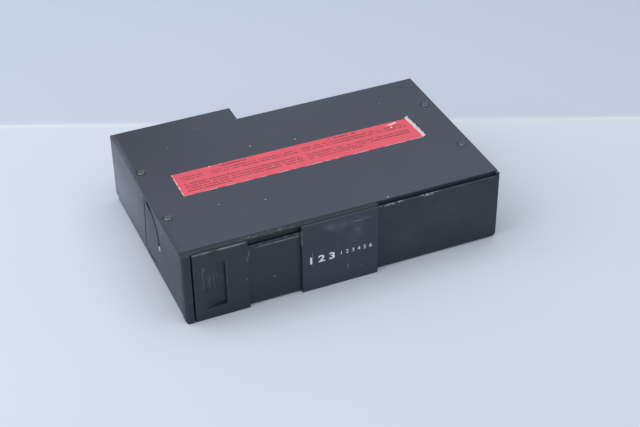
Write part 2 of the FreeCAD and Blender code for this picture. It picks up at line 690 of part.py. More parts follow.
def rear_panel():
    """Folded panel that follows the step in the back."""
    left, right = INNER_X, WIDTH - INNER_X
    step = NOTCH_X - COVER_WALL
    front = CHASSIS_WALL
    wall = block(left, step, REAR_Y - front, REAR_Y, front, WALL_TOP)
    jog = block(step - front, step, REAR_STEP_Y - front, REAR_Y, front, WALL_TOP)
    recess = block(step - front, right, REAR_STEP_Y - front, REAR_STEP_Y, front, WALL_TOP)
    power = block(step - front, step, SOCKET_Y - POWER_HALF, SOCKET_Y + POWER_HALF,
                  POWER_Z - POWER_HALF, POWER_Z + POWER_HALF)
    bus = rod_x(step - front, step, SOCKET_Y, BUS_Z, BUS_R)
    vents = [block(x, x + VENT_WIDTH, REAR_Y - front, REAR_Y, VENT_LOW, VENT_HIGH)
             for x in [VENT_LEFT + i * VENT_PITCH for i in range(VENT_COUNT)]]
    return without(joined([wall, jog, recess]), [power, bus] + vents)


def top_label():
    right = LABEL_X + LABEL_LENGTH
    return block(LABEL_X, right, LABEL_Y, LABEL_Y + LABEL_WIDTH, HEIGHT, HEIGHT + LABEL_T)


def bracket_nuts():
    return [ring_z(x, y, CHASSIS_WALL, CHASSIS_WALL + NUT_H, NUT_R, BRACKET_HOLE_R) for x, y in BRACKET_PLACES]


# ---------------------------------------------------------------- bezel and door

def hook(x0, x1):
    """Section of a leaf that wraps the rails at the top and the bottom."""
    top = [block(x0, x1, 0, HOOK_BACK, FLANGE_LOW, FLANGE_TOP),
           block(x0, x1, HOOK_Y, HOOK_BACK, FLANGE_LOW - HOOK_DROP, FLANGE_TOP)]
    low = [block(x0, x1, 0, HOOK_BACK, 0, BOTTOM_FLANGE),
           block(x0, x1, HOOK_Y, HOOK_BACK, 0, BOTTOM_FLANGE + HOOK_RISE)]
    wall = block(x0, x1, 0, LEAF_T, 0, HEIGHT)
    return joined(top + low + [wall])


def with_soft_edge(leaf):
    """The leaf with its upper front edge rounded."""
    edges = [e for e in leaf.Edges if abs(e.CenterOfMass.y) + abs(e.CenterOfMass.z - HEIGHT) < 0.01]
    return leaf.makeFillet(LEAF_EDGE_R, edges)


def door_outer():
    return with_soft_edge(hook(LEAF_SEAM_X + LEAF_GAP / 2, DOOR_RIGHT))


def door_inner():
    leaf = with_soft_edge(hook(DOOR_LEFT, LEAF_STEP_X))
    back = PANEL_Y - RAIL_GAP
    sunk = block(LEAF_STEP_X - LEAF_OVERLAP, LEAF_SEAM_X + RECESS_LAP, back - RECESS_T, back,
                 RECESS_LOW, RECESS_TOP)
    step = block(LEAF_STEP_X - LEAF_OVERLAP, LEAF_STEP_X, 0, back, RECESS_LOW, RECESS_TOP)
    bulge = block(GRIP_LEFT - GRIP_WALL, GRIP_RIGHT + GRIP_WALL, 0, GRIP_DEPTH + GRIP_WALL,
                  GRIP_LOW - GRIP_WALL, GRIP_HIGH + GRIP_WALL)
    body = joined([leaf, sunk, step, bulge])
    floor = [(GRIP_RIGHT, GRIP_DEPTH), (GRIP_RIGHT - GRIP_FLAT, GRIP_DEPTH)]
    wedge = prism_z([(GRIP_LEFT, 0), (GRIP_RIGHT, 0)] + floor, GRIP_LOW, GRIP_HIGH)
    body = body.cut(wedge)
    pitch = (RIB_RIGHT - RIB_LEFT - RIB_T) / (RIB_COUNT - 1)
    rib_face = GRIP_DEPTH / (GRIP_RIGHT - GRIP_FLAT - GRIP_LEFT)
    ribs = []
    for i in range(RIB_COUNT):
        x = RIB_LEFT + i * pitch
        sink = (x - GRIP_LEFT) * rib_face
        ribs.append(block(x, x + RIB_T, max(0, sink - RIB_STAND), GRIP_DEPTH + 0.3, RIB_LOW, RIB_HIGH))
    return joined([body] + ribs)


def front_bezel():
    end = WIDTH - BEZEL_END
    steel = COVER_FRONT - STEEL_GAP
    post = block(0, POST_WIDTH, 0, steel, 0, HEIGHT)
    post = post.makeFillet(POST_R, vertical_edges(post, 0, 0) + edges_along_y(post, 0, 0))
    face = block(POST_WIDTH, WIDTH, PANEL_Y, RAIL_BACK, RAIL_LOW, RAIL_TOP)
    face = face.makeFillet(PANEL_R, edges_along_y(face, WIDTH, RAIL_LOW))
    upper = [e for e in face.Edges if abs(e.CenterOfMass.y - PANEL_Y) + abs(e.CenterOfMass.z - RAIL_TOP) < 0.01]
    face = face.makeFillet(PANEL_EDGE_R, upper)
    end_wall = block(end, WIDTH, PANEL_Y, steel, RAIL_LOW + PANEL_R, HEIGHT)
    end_wall = end_wall.makeFillet(CHEEK_R, edges_along_y(end_wall, WIDTH, HEIGHT))
    bar_end = DOOR_RIGHT + DUCT_T
    web_end, web_top = WIDTH - INNER_X - STEEL_GAP, COVER_UNDER - STEEL_GAP
    bar = [block(POST_WIDTH, bar_end, BAR_FRONT, steel, HEIGHT - BAR_T, HEIGHT),
           block(POST_WIDTH, end, WEB_Y, steel, DUCT_HIGH, web_top),
           block(POST_WIDTH, web_end, WEB_Y, WEB_Y + WEB_T, DUCT_HIGH, web_top)]
    duct = block(POST_WIDTH, DOOR_RIGHT + DUCT_T, RAIL_BACK, DUCT_DEPTH, DUCT_LOW - DUCT_T, DUCT_HIGH + DUCT_T)
    ribs = [block(x, x + DUCT_T, RAIL_BACK, COVER_FRONT, DUCT_LOW, DUCT_HIGH) for x in BEZEL_RIB_XS]
    bosses = []
    for x in BEZEL_SCREW_XS:
        left, right, back = x - BOSS_HALF, x + BOSS_HALF, BEZEL_SCREW_Y + BOSS_HALF - 1
        bosses.append(block(left, right, COVER_FRONT, back, CHASSIS_WALL, DUCT_LOW))
        bosses.append(block(left, right, PANEL_Y, back, DUCT_LOW - DUCT_T, DUCT_LOW))
    plate_y = DUCT_DEPTH - BUTTON_PLATE_T
    plate = block(MAG_RIGHT + 0.4, DOOR_RIGHT + DUCT_T, plate_y, DUCT_DEPTH, DUCT_LOW, DUCT_HIGH)
    doorway = block(DOOR_LEFT, DOOR_RIGHT, 0, DUCT_DEPTH + 0.01, DUCT_LOW, DUCT_HIGH)
    frame = joined([face, duct] + bosses).cut(doorway)
    hole = block(BUTTON_LEFT - BODY_GAP, BUTTON_LEFT + BUTTON_WIDTH + BODY_GAP, plate_y, DUCT_DEPTH,
                 BUTTON_LOW - BODY_GAP, BUTTON_HIGH + BODY_GAP)
    body = joined([frame, post, end_wall, plate] + ribs + bar)
    threads = [rod_z(x, BEZEL_SCREW_Y, CHASSIS_WALL, DUCT_LOW - BOSS_SKIN, SCREW_R + THREAD_PLAY)
               for x in BEZEL_SCREW_XS]
    return without(body, [hole] + threads)


def bezel_screws():
    """Countersunk screws, up through the floor into the bezel's bosses."""
    screws = []
    for x in BEZEL_SCREW_XS:
        head = Part.makeCone(SCREW_HEAD_R - FIT, SCREW_R, CHASSIS_WALL, Vector(x, BEZEL_SCREW_Y, 0))
        shank = rod_z(x, BEZEL_SCREW_Y, 0, DUCT_LOW - BOSS_SKIN - BODY_GAP, SCREW_R)
        y, arm = BEZEL_SCREW_Y, SCREW_HEAD_R * 0.62
        cross = [block(x - CROSS_HALF, x + CROSS_HALF, y - arm, y + arm, 0, CROSS_DEPTH),
                 block(x - arm, x + arm, y - CROSS_HALF, y + CROSS_HALF, 0, CROSS_DEPTH)]
        screws.append(without(joined([head, shank]), cross))
    return screws


def eject_button():
    right = BUTTON_LEFT + BUTTON_WIDTH
    cap = block(BUTTON_LEFT, right, BUTTON_FRONT, DUCT_DEPTH + BODY_GAP, BUTTON_LOW, BUTTON_HIGH)
    cap = cap.makeFillet(0.6, [e for e in cap.Edges if abs(e.CenterOfMass.y - BUTTON_FRONT) < 0.01])
    flange = block(BUTTON_LEFT - BUTTON_LIP, right + BUTTON_LIP, DUCT_DEPTH + BODY_GAP, BUTTON_BACK,
                   BUTTON_LOW - BUTTON_LIP_Z, BUTTON_HIGH + BUTTON_LIP_Z)
    return joined([cap, flange])


def eject_spring():
    """Close-wound spring between the button's flange and the deck's bracket."""
    x, z = BUTTON_LEFT + BUTTON_WIDTH / 2, (BUTTON_LOW + BUTTON_HIGH) / 2
    return coil_y(x, BUTTON_BACK, BUTTON_STOP_Y, z, BUTTON_SPRING_R, SPRING_WIRE, COIL_TURNS)


# ---------------------------------------------------------------- springs

def coil_profile(length, r, wire, turns):
    """Half section of a spring: a tube whose outside is ridged turn by turn."""
    pitch = length / turns
    points = [(r - wire, 0.0)]
    for i in range(turns):
        points += [(r, i * pitch), (r + wire, (i + 0.5) * pitch), (r, (i + 1) * pitch)]
    points.append((r - wire, length))
    unique = [p for i, p in enumerate(points) if i == 0 or p != points[i - 1]]
    return unique


def coil_z(x, y, z0, z1, r, wire, turns):
    points = [(x + a, y, z0 + b) for a, b in coil_profile(z1 - z0, r, wire, turns)]
    return face_of(points).revolve(Vector(x, y, z0), Vector(0, 0, 1), 360)


def coil_y(x, y0, y1, z, r, wire, turns):
    points = [(x + a, y0 + b, z) for a, b in coil_profile(y1 - y0, r, wire, turns)]
    return face_of(points).revolve(Vector(x, y0, z), Vector(0, 1, 0), 360)


# ---------------------------------------------------------------- angle levers and suspension

def angle_lever():
    """Left lever: hub, arm, a knob that looks out of the slot, and two spring pegs."""
    hub = rod_x(LEVER_X, LEVER_BACK, PIVOT_Y, PIVOT_Z, LEVER_HUB_R)
    y, z = slot_point(SLOT_LOW_ANGLE)
    half = LEVER_ARM_W / 2
    arm = block(LEVER_X, LEVER_BACK, PIVOT_Y - SLOT_R, PIVOT_Y, PIVOT_Z - half, PIVOT_Z + half)
    arm.rotate(Vector(0, PIVOT_Y, PIVOT_Z), Vector(1, 0, 0), SLOT_LOW_ANGLE - 180)
    tail = block(LEVER_X, LEVER_BACK, *SPRING_YS, PIVOT_Z - PEG_EYE_R, PIVOT_Z + PEG_EYE_R)
    pegs = [rod_x(LEVER_X, SPRING_X + 2 * PEG_R, py, PIVOT_Z, PEG_R) for py in SPRING_YS]
    ends = [rod_x(LEVER_X, LEVER_BACK, py, PIVOT_Z, PEG_EYE_R) for py in SPRING_YS]
    knob = rod_x(COVER_WALL * 0.2, LEVER_BACK, y, z, SLOT_WIDTH / 2 - KNOB_PLAY)
    tip = rod_x(LEVER_X, LEVER_BACK, y, z, half)
    bore = rod_x(LEVER_X, LEVER_BACK, PIVOT_Y, PIVOT_Z, PIVOT_R + FIT)
    return joined([hub, arm, tail, knob, tip] + pegs + ends).cut(bore)


def suspension_spring(y):
    """Extension spring from a lever's peg down to the deck's peg."""
    top, low = PIVOT_Z, LOOP_LOW
    ends = (low + LOOP_R, top - LOOP_R)
    body = coil_z(SPRING_X, y, *ends, SPRING_R, SPRING_WIRE, SPRING_TURNS)
    caps = [rod_z(SPRING_X, y, z - SPRING_WIRE, z + SPRING_WIRE, SPRING_R) for z in ends]
    loops = [Part.makeTorus(LOOP_R, SPRING_WIRE, Vector(SPRING_X, y, z), Vector(1, 0, 0)) for z in (top, low)]
    return joined([body] + caps + loops)


def suspension_springs():
    left = [suspension_spring(y) for y in SPRING_YS]
    return left + [mirrored(s) for s in left]


def dampers():
    """Rubber cups on the floor; the deck's studs hang in them."""
    cups = []
    for x, y in DAMPER_PLACES:
        cup = rod_z(x, y, CHASSIS_WALL, CHASSIS_WALL + DAMPER_H, DAMPER_R)
        cup = cup.makeFillet(0.8, [cup.Edges[0]])
        floor = DECK_LOW - STUD_LENGTH - FLOAT - BODY_GAP
        well = rod_z(x, y, floor, CHASSIS_WALL + DAMPER_H, STUD_R + BODY_GAP)
        cups.append(cup.cut(well))
    return cups


# ---------------------------------------------------------------- deck

def deck_spring_posts():
    """Upright tabs with the lower spring pegs."""
    wall = SPRING_X + SPRING_R + SPRING_WIRE + BODY_GAP
    posts = []
    for y in SPRING_YS:
        posts.append(block(wall, wall + TAB_T, y - 3, y + 3, DECK_TOP, LOOP_LOW + PEG_R + TAB_T))
        posts.append(rod_x(SPRING_X - PEG_R, wall, y, LOOP_LOW, PEG_R))
    return posts + [mirrored(p) for p in posts]


def shaft_bridge():
    """Post and shelf that hold the top of the hexagonal shaft."""
    left, right = MAG_BACK_END - BRIDGE_POST_W, DRIVE_X + BRIDGE_EAR
    front, back = MAG_BACK + 1, RAIL_Y - BODY_GAP
    post = block(left, left + BRIDGE_POST_W, front, back, DECK_TOP, SHAFT_TOP)
    shelf = block(left, right, front, back, SHAFT_TOP, SHAFT_TOP + DECK_T)
    ear = block(DRIVE_X - BRIDGE_EAR, right, DRIVE_Y - BRIDGE_EAR, back, SHAFT_TOP, SHAFT_TOP + DECK_T)
    return [post, shelf, ear]


def mech_deck():
    """Floating plate with its studs, guides and brackets."""
    plate = block(DECK_LEFT, DECK_RIGHT, DECK_FRONT, DECK_REAR, DECK_LOW, DECK_TOP)
    doorway = block(DECK_LEFT, DOOR_RIGHT + DUCT_T + 2 * BODY_GAP, DECK_FRONT, DUCT_DEPTH + 2 * BODY_GAP,
                    DECK_LOW, DECK_TOP)
    window = block(TRAVERSE_LEFT - 2, FRAME_X + FRAME_T + 2 * BODY_GAP, TRAVERSE_FRONT - 6, TRAVERSE_REAR + 6,
                   DECK_LOW, DECK_TOP)
    studs = [rod_z(x, y, DECK_LOW - STUD_LENGTH, DECK_LOW, STUD_R) for x, y in DAMPER_PLACES]
    left, right = MAG_LEFT - GUIDE_GAP, MAG_RIGHT + GUIDE_GAP
    front, rear = MAG_FRONT + 4, MAG_BACK - 4
    guides = [block(left - GUIDE_T, left, front, SPRING_YS[0] - 6, DECK_TOP, DECK_TOP + GUIDE_H),
              block(left - GUIDE_T, left, SPRING_YS[1] + 6, rear, DECK_TOP, DECK_TOP + GUIDE_H),
              block(right, right + GUIDE_T, front, rear - 8, DECK_TOP, TRAY_LOW - GUIDE_GAP)]
    stop = block(MAG_STOP_LEFT, MAG_STOP_LEFT + MAG_STOP_WIDTH, MAG_BACK + GUIDE_GAP,
                 MAG_BACK + GUIDE_GAP + GUIDE_T, DECK_TOP, DECK_TOP + MAG_STOP_H)
    button_stop = block(right, DOOR_RIGHT, BUTTON_STOP_Y, BUTTON_STOP_Y + TAB_T, DECK_TOP, BUTTON_HIGH)
    arm_pin = rod_z(EJECTOR_X, EJECTOR_Y, DECK_TOP, EJECTOR_TOP + BODY_GAP, PIVOT_R)
    arm_clip = rod_z(EJECTOR_X, EJECTOR_Y, EJECTOR_TOP + BODY_GAP, EJECTOR_TOP + 3 * BODY_GAP, PIVOT_HEAD_R)
    body = joined([without(plate, [doorway, window]), button_stop, arm_pin, arm_clip, stop] + shaft_bridge()
                  + studs + guides + deck_spring_posts())
    holes = [rod_z(DRIVE_X, DRIVE_Y, DECK_LOW, SHAFT_TOP + DECK_T, JOURNAL_R + FIT),
             rod_z(LIFT_X, LIFT_Y, DECK_LOW, DECK_TOP, LIFT_SCREW_R + FIT),
             rod_z(TRAY_PINION_X, TRAY_PINION_Y, DECK_LOW, DECK_TOP, MOTOR_SHAFT_R + BODY_GAP),
             rod_z(LIFT_PINION_X, LIFT_PINION_Y, DECK_LOW, DECK_TOP, MOTOR_SHAFT_R + BODY_GAP)]
    return without(body, holes)


def ejector_arm():
    """Sprung arm behind the magazine that pushes it forwards."""
    x, y = EJECTOR_X, EJECTOR_Y
    hub = rod_z(x, y, EJECTOR_LOW, EJECTOR_TOP, EJECTOR_HUB_R)
    tip_x, tip_y = x + EJECTOR_REACH, MAG_BACK + BODY_GAP + ROLLER_R
    arm = prism_z([(x, y - 1.8), (tip_x, tip_y - 1.2), (tip_x, tip_y + 1.2), (x, y + 1.8)],
                  EJECTOR_LOW, EJECTOR_TOP)
    roller = rod_z(tip_x, tip_y, EJECTOR_LOW, EJECTOR_TOP + ROLLER_RISE, ROLLER_R)
    return joined([hub, arm, roller]).cut(rod_z(x, y, EJECTOR_LOW, EJECTOR_TOP, PIVOT_R + FIT))


def ejector_spring():
    top = EJECTOR_LOW - BODY_GAP
    return coil_z(EJECTOR_X, EJECTOR_Y, DECK_TOP, top, PIVOT_R + 3 * SPRING_WIRE, SPRING_WIRE, COIL_TURNS)


def guide_posts():
    return [rod_z(LIFT_X, y, DECK_TOP, POST_TOP, POST_ROD_R) for y in (POST_FRONT_Y, POST_REAR_Y)]


def motor(x, y, along_x):
    """Flat-sided motor that stands on the deck."""
    top = DECK_TOP + MOTOR_H
    half_x, half_y = (MOTOR_R, MOTOR_HALF) if along_x else (MOTOR_HALF, MOTOR_R)
    flats = block(x - half_x, x + half_x, y - half_y, y + half_y, DECK_TOP, top)
    can = rod_z(x, y, DECK_TOP, top, MOTOR_R).common(flats)
    cap = rod_z(x, y, top, top + MOTOR_CAP_H, MOTOR_CAP_R)
    dx, dy = (TAG_OFFSET, 0) if along_x else (0, TAG_OFFSET)
    tags = [block(x + s * dx - TAG_HALF, x + s * dx + TAG_HALF, y + s * dy - TAG_HALF, y + s * dy + TAG_HALF,
                  top, top + TAG_H) for s in (-1, 1)]
    return joined([can, cap] + tags)


def pinion(x, y, wheel_angle):
    """Motor pinion and shaft; the wheel that it drives points at it at wheel_angle."""
    teeth = gear(PINION_TEETH, x, y, DRIVE_LOW, DRIVE_LOW + DRIVE_T, wheel_angle + 180 + 180 / PINION_TEETH)
    return joined([teeth, rod_z(x, y, DRIVE_LOW, DECK_TOP - FIT, MOTOR_SHAFT_R)])


def tray_motor():
    return motor(TRAY_PINION_X, TRAY_PINION_Y, True)


def tray_pinion():
    return pinion(TRAY_PINION_X, TRAY_PINION_Y, TRAY_PINION_ANGLE)


def lift_motor():
    return motor(LIFT_PINION_X, LIFT_PINION_Y, False)


def lift_pinion():
    return pinion(LIFT_PINION_X, LIFT_PINION_Y, LIFT_PINION_ANGLE)


def lift_screw():
    """Lead screw with its wheel at the foot."""
    teeth = gear(LIFT_TEETH, LIFT_X, LIFT_Y, DRIVE_LOW, DRIVE_LOW + DRIVE_T, LIFT_PINION_ANGLE)
    return joined([teeth, rod_z(LIFT_X, LIFT_Y, DRIVE_LOW, POST_TOP, LIFT_SCREW_R)])


def hexagon(flats, z0, z1):
    r = flats / 2 / math.cos(math.pi / 6)
    corners = [math.radians(60 * i) for i in range(6)]
    return prism_z([(DRIVE_X + r * math.cos(a), DRIVE_Y + r * math.sin(a)) for a in corners], z0, z1)


def drive_shaft():
    """Hexagonal shaft with the drive gear at its foot; the tray gear slides along it."""
    teeth = gear(TRAY_DRIVE_TEETH, DRIVE_X, DRIVE_Y, DRIVE_LOW, DRIVE_LOW + DRIVE_T, TRAY_PINION_ANGLE)
    journal = rod_z(DRIVE_X, DRIVE_Y, DRIVE_LOW, DECK_TOP + JOURNAL_LAP, JOURNAL_R)
    upper = rod_z(DRIVE_X, DRIVE_Y, SHAFT_TOP - JOURNAL_LAP, SHAFT_TOP + DECK_T + JOURNAL_LAP, JOURNAL_R)
    return joined([teeth, journal, hexagon(HEX_FLATS, DECK_TOP, SHAFT_TOP), upper])


def tray_gear():
    """Gear on the lift that slides on the hexagonal shaft and drives the tray at its level."""
    teeth = gear(TRAY_GEAR_TEETH, DRIVE_X, DRIVE_Y, GEAR_LOW, GEAR_HIGH, 270)
    return teeth.cut(hexagon(HEX_FLATS + 2 * HEX_PLAY, GEAR_LOW, GEAR_HIGH))


# ---------------------------------------------------------------- magazine, trays and discs

def tray_z(number):
    """Underside of a tray; number 1 is at the top."""
    return TRAY_LOW + (DISC_COUNT - number) * TRAY_PITCH


def magazine_case():
    shell = block(MAG_LEFT, MAG_RIGHT, MAG_FRONT, MAG_BACK, MAG_LOW, MAG_HIGH)
    hollow = block(MAG_LEFT + MAG_WALL, MAG_RIGHT, MAG_FRONT + MAG_WALL, MAG_BACK - MAG_WALL,
                   MAG_LOW + MAG_WALL, MAG_HIGH - MAG_WALL)
    gate = block(MAG_BACK_END, MAG_RIGHT, MAG_BACK - MAG_WALL, MAG_BACK, MAG_LOW, MAG_HIGH)
    gear_room = block(MAG_BACK_END, MAG_RIGHT, DRIVE_Y - TRAY_GEAR_R - MODULE - BODY_GAP, MAG_BACK,
                      MAG_HIGH - MAG_WALL, MAG_HIGH)
    shell = shell.makeFillet(1.2, vertical_edges(shell, MAG_LEFT, MAG_FRONT))
    body = without(shell, [hollow, gate, gear_room])
    runners = []
    for number in range(1, DISC_COUNT):
        z = tray_z(number) - BODY_GAP - RUNNER_T
        front, back = MAG_FRONT + MAG_WALL, MAG_BACK - MAG_WALL
        left, top = MAG_LEFT + MAG_WALL, z + RUNNER_T
        runners.append(block(left, MAG_RIGHT - RUNNER_T, front, front + RUNNER_DEPTH, z, top))
        runners.append(block(left, MAG_BACK_END, back - RUNNER_DEPTH, back, z, top))
    return joined([body] + runners)


def disc_tray(number):
    z = tray_z(number)
    pitch = math.pi * MODULE
    teeth = int(TRAY_TRAVEL / pitch) + 2 * RACK_SPARE
    first = DRIVE_X - pitch / 2 - (teeth - RACK_SPARE) * pitch
    steps = rack_steps(first, teeth)
    steps = [(x, RACK_LINE + h) for x, h in steps if x < TRAY_RIGHT - BODY_GAP]
    root = RACK_LINE - 1.2 * MODULE
    outline = [(TRAY_LEFT, TRAY_FRONT), (TRAY_RIGHT, TRAY_FRONT), (TRAY_RIGHT, root)]
    outline += list(reversed(steps)) + [(steps[0][0], TRAY_REAR), (TRAY_LEFT, TRAY_REAR)]
    plate = prism_z(outline, z, z + TRAY_T)
    recess = rod_z(DISC_X, DISC_Y, z + TRAY_FLOOR, z + TRAY_T, DISC_R + TRAY_PLAY)
    slot = block(DISC_X, TRAY_RIGHT, DISC_Y - SLOT_HALF, DISC_Y + SLOT_HALF, z, z + TRAY_T)
    hole = rod_z(DISC_X, DISC_Y, z, z + TRAY_T, SLOT_HALF)
    return without(plate, [recess, slot, hole])


def disc(number):
    z = tray_z(number) + TRAY_FLOOR
    return ring_z(DISC_X, DISC_Y, z, z + DISC_T, DISC_R, DISC_HOLE_R)


# ---------------------------------------------------------------- lift

def elevator_frame():
    """Side wall with its sleeves and nut, the rear rail, and the fork that holds the tray gear."""
    x0, x1 = FRAME_X, FRAME_X + FRAME_T
    upper = block(x0, x1, POST_FRONT_Y - SLEEVE_R, RAIL_Y + FRAME_T, FRAME_LOW, FRAME_HIGH)
    lower = block(x0, x1, TRAVERSE_FRONT, TRAVERSE_REAR, ROD_Z - ROD_HOLDER, FRAME_HIGH)
    sleeves = [rod_z(LIFT_X, y, FRAME_LOW, FRAME_HIGH, SLEEVE_R) for y in (POST_FRONT_Y, POST_REAR_Y)]
    nut = rod_z(LIFT_X, LIFT_Y, FRAME_LOW, FRAME_HIGH, LIFT_NUT_R)
    bores = [rod_z(LIFT_X, y, FRAME_LOW, FRAME_HIGH, POST_ROD_R + FIT) for y in (POST_FRONT_Y, POST_REAR_Y)]
    thread = rod_z(LIFT_X, LIFT_Y, FRAME_LOW, FRAME_HIGH, LIFT_SCREW_R + FIT)
    left, right = DRIVE_X - FORK_LEFT, DRIVE_X + FORK_RIGHT
    rail = block(left, x1, RAIL_Y, RAIL_Y + FRAME_T, FRAME_LOW, FRAME_HIGH)
    z0, z1 = GEAR_LOW - BODY_GAP, GEAR_HIGH + BODY_GAP
    front = MAG_BACK - MAG_WALL + BODY_GAP
    fork = [block(left, right, front, RAIL_Y, low, high) for low, high in ((FRAME_LOW, z0), (z1, z1 + FRAME_T))]
    fork_bore = rod_z(DRIVE_X, DRIVE_Y, FRAME_LOW, z1 + FRAME_T, JOURNAL_R + BODY_GAP)
    low, high = ARM_LOW - ARM_BARREL_R, ARM_LOW + ARM_BARREL_R
    ears_at = (DISC_Y - ARM_HALF - EAR_T - BODY_GAP, DISC_Y + ARM_HALF + BODY_GAP)
    ears = [block(ARM_HINGE_X - ARM_BARREL_R, x0, y, y + EAR_T, low, high) for y in ears_at]
    hinge_pin = rod_y(ARM_HINGE_X, ears_at[0], ears_at[1] + EAR_T, ARM_LOW, ARM_PIN_R)
    body = joined([upper, lower, rail, hinge_pin, nut] + sleeves + fork + ears)
    return without(body, bores + [fork_bore, thread])


# ---------------------------------------------------------------- player

def traverse_plate():
    """Plate that carries the spindle motor, the pickup's rods and the feed motor."""
    x0, low = TRAVERSE_LEFT, ROD_Z - ROD_HOLDER
    plate = block(x0, FRAME_X, TRAVERSE_FRONT, TRAVERSE_REAR, TRAVERSE_LOW, TRAVERSE_TOP)
    window = block(SLED_LEFT - SLED_ROOM, FRAME_X - BODY_GAP, SLED_FRONT - SLED_ROOM, NUT_BACK + SLED_ROOM,
                   TRAVERSE_LOW, TRAVERSE_TOP)
    shaft_hole = rod_z(SPINDLE_X, DISC_Y, TRAVERSE_LOW, TRAVERSE_TOP, SPINDLE_SHAFT_R + BODY_GAP)
    motor_gap = block(x0, ROD_HOLDER_X, SCREW_LINE_Y - FEED_MOTOR_R - BODY_GAP,
                      SCREW_LINE_Y + FEED_MOTOR_R + BODY_GAP, TRAVERSE_LOW, TRAVERSE_TOP)
    holder = block(ROD_HOLDER_X, ROD_HOLDER_X + HOLDER_T, ROD_YS[0] - 3, SCREW_LINE_Y + 3, low, TRAVERSE_LOW)
    clamp = block(x0, x0 + HOLDER_T, SCREW_LINE_Y - 4, SCREW_LINE_Y + 4, low, TRAVERSE_TOP)
    body = joined([without(plate, [window, shaft_hole, motor_gap]), holder, clamp])
    screw_hole = rod_x(ROD_HOLDER_X, SLED_LEFT, SCREW_LINE_Y, ROD_Z, FEED_R + FIT)
    rod_holes = [rod_x(ROD_HOLDER_X, SLED_LEFT, y, ROD_Z, ROD_R) for y in ROD_YS]
    return without(body, [screw_hole] + rod_holes)


def guide_rods():
    return [rod_x(ROD_HOLDER_X, FRAME_X, y, ROD_Z, ROD_R) for y in ROD_YS]


def spindle_motor():
    low = TRAVERSE_LOW - SPINDLE_H
    can = rod_z(SPINDLE_X, DISC_Y, low, TRAVERSE_LOW, SPINDLE_R)
    return can.makeFillet(0.8, [edge for edge in can.Edges if abs(edge.CenterOfMass.z - low) < 0.01])


def turntable():
    x, y = SPINDLE_X, DISC_Y
    shaft = rod_z(x, y, TRAVERSE_LOW + BODY_GAP, SEAT_Z, SPINDLE_SHAFT_R)
    plate = rod_z(x, y, SEAT_Z - TURNTABLE_T, SEAT_Z, TURNTABLE_R)
    cone = Part.makeCone(DISC_HOLE_R - 0.1, DISC_HOLE_R - 1.6, CONE_TOP - SEAT_Z, Vector(x, y, SEAT_Z))
    dish = Part.makeCone(3.0, 4.0, 0.6, Vector(x, y, CONE_TOP - 0.6))
    return joined([shaft, plate, cone]).cut(dish)


def clamp_arm():
    top = ARM_LOW + ARM_T
    root = ARM_HINGE_X - ARM_BARREL_R
    tip = [(SPINDLE_X, DISC_Y + ARM_TIP), (SPINDLE_X, DISC_Y - ARM_TIP)]
    blade = prism_z([(root, DISC_Y - ARM_HALF), (root, DISC_Y + ARM_HALF)] + tip, ARM_LOW, top)
    neck = block(root - 1, ARM_HINGE_X, DISC_Y - ARM_HALF, DISC_Y + ARM_HALF, ARM_LOW, top)
    nose = rod_z(SPINDLE_X, DISC_Y, ARM_LOW, top, ARM_NOSE_R)
    barrel = rod_y(ARM_HINGE_X, DISC_Y - ARM_HALF, DISC_Y + ARM_HALF, ARM_LOW, ARM_BARREL_R)
    bore = rod_y(ARM_HINGE_X, DISC_Y - ARM_HALF, DISC_Y + ARM_HALF, ARM_LOW, ARM_PIN_R + FIT)
    hub_hole = rod_z(SPINDLE_X, DISC_Y, ARM_LOW, top, PUCK_HUB_R + BODY_GAP)
    window = prism_z([(root - 6, DISC_Y - 9), (root - 6, DISC_Y + 9), (SPINDLE_X + 16, DISC_Y + 4),
                      (SPINDLE_X + 16, DISC_Y - 4)], ARM_LOW, top)
    return without(joined([blade, neck, nose, barrel]), [bore, hub_hole, window])


def clamp_puck():
    """Disc clamp that hangs in the arm and spins with the disc."""
    x, y = SPINDLE_X, DISC_Y
    recess_top, cap_low = PUCK_LOW + PUCK_RECESS, ARM_LOW + ARM_T + BODY_GAP
    low = rod_z(x, y, PUCK_LOW, PUCK_LOW + PUCK_T, PUCK_R)
    low = low.cut(rod_z(x, y, PUCK_LOW, recess_top, DISC_HOLE_R))
    hub = rod_z(x, y, recess_top, cap_low, PUCK_HUB_R)
    cap = rod_z(x, y, cap_low, cap_low + PUCK_CAP_T, PUCK_CAP_R)
    return joined([low, hub, cap])


def pickup_sled():
    """Block on the two rods, with a half nut that rides the feed screw."""
    body = block(SLED_LEFT, SLED_RIGHT, SLED_FRONT, SLED_BACK, SLED_LOW, SLED_TOP)
    pocket = block(SLED_LEFT + 4, SLED_RIGHT - 4, DISC_Y - 8, DISC_Y + 8, SLED_LOW, SLED_LOW + 1.6)
    nut_left, nut_right = LENS_X - NUT_HALF, LENS_X + NUT_HALF
    nut = block(nut_left, nut_right, SLED_BACK, NUT_BACK, ROD_Z - FEED_R - NUT_WALL, ROD_Z + FEED_R + NUT_WALL)
    bores = [rod_x(SLED_LEFT, SLED_RIGHT, y, ROD_Z, ROD_R + FIT) for y in ROD_YS]
    nut_bore = rod_x(nut_left, nut_right, SCREW_LINE_Y, ROD_Z, FEED_R + FIT)
    return without(joined([body.cut(pocket), nut]), bores + [nut_bore])


def pickup_lens():
    rim = rod_z(LENS_X, DISC_Y, SLED_TOP, LENS_TOP - 0.3, LENS_R)
    dome = Part.makeCone(LENS_R - 1.0, LENS_R - 1.6, 0.3, Vector(LENS_X, DISC_Y, LENS_TOP - 0.3))
    return joined([rim, dome])


def feed_motor():
    return rod_x(FEED_MOTOR_X, FEED_MOTOR_X + FEED_MOTOR_LENGTH, SCREW_LINE_Y, ROD_Z, FEED_MOTOR_R)


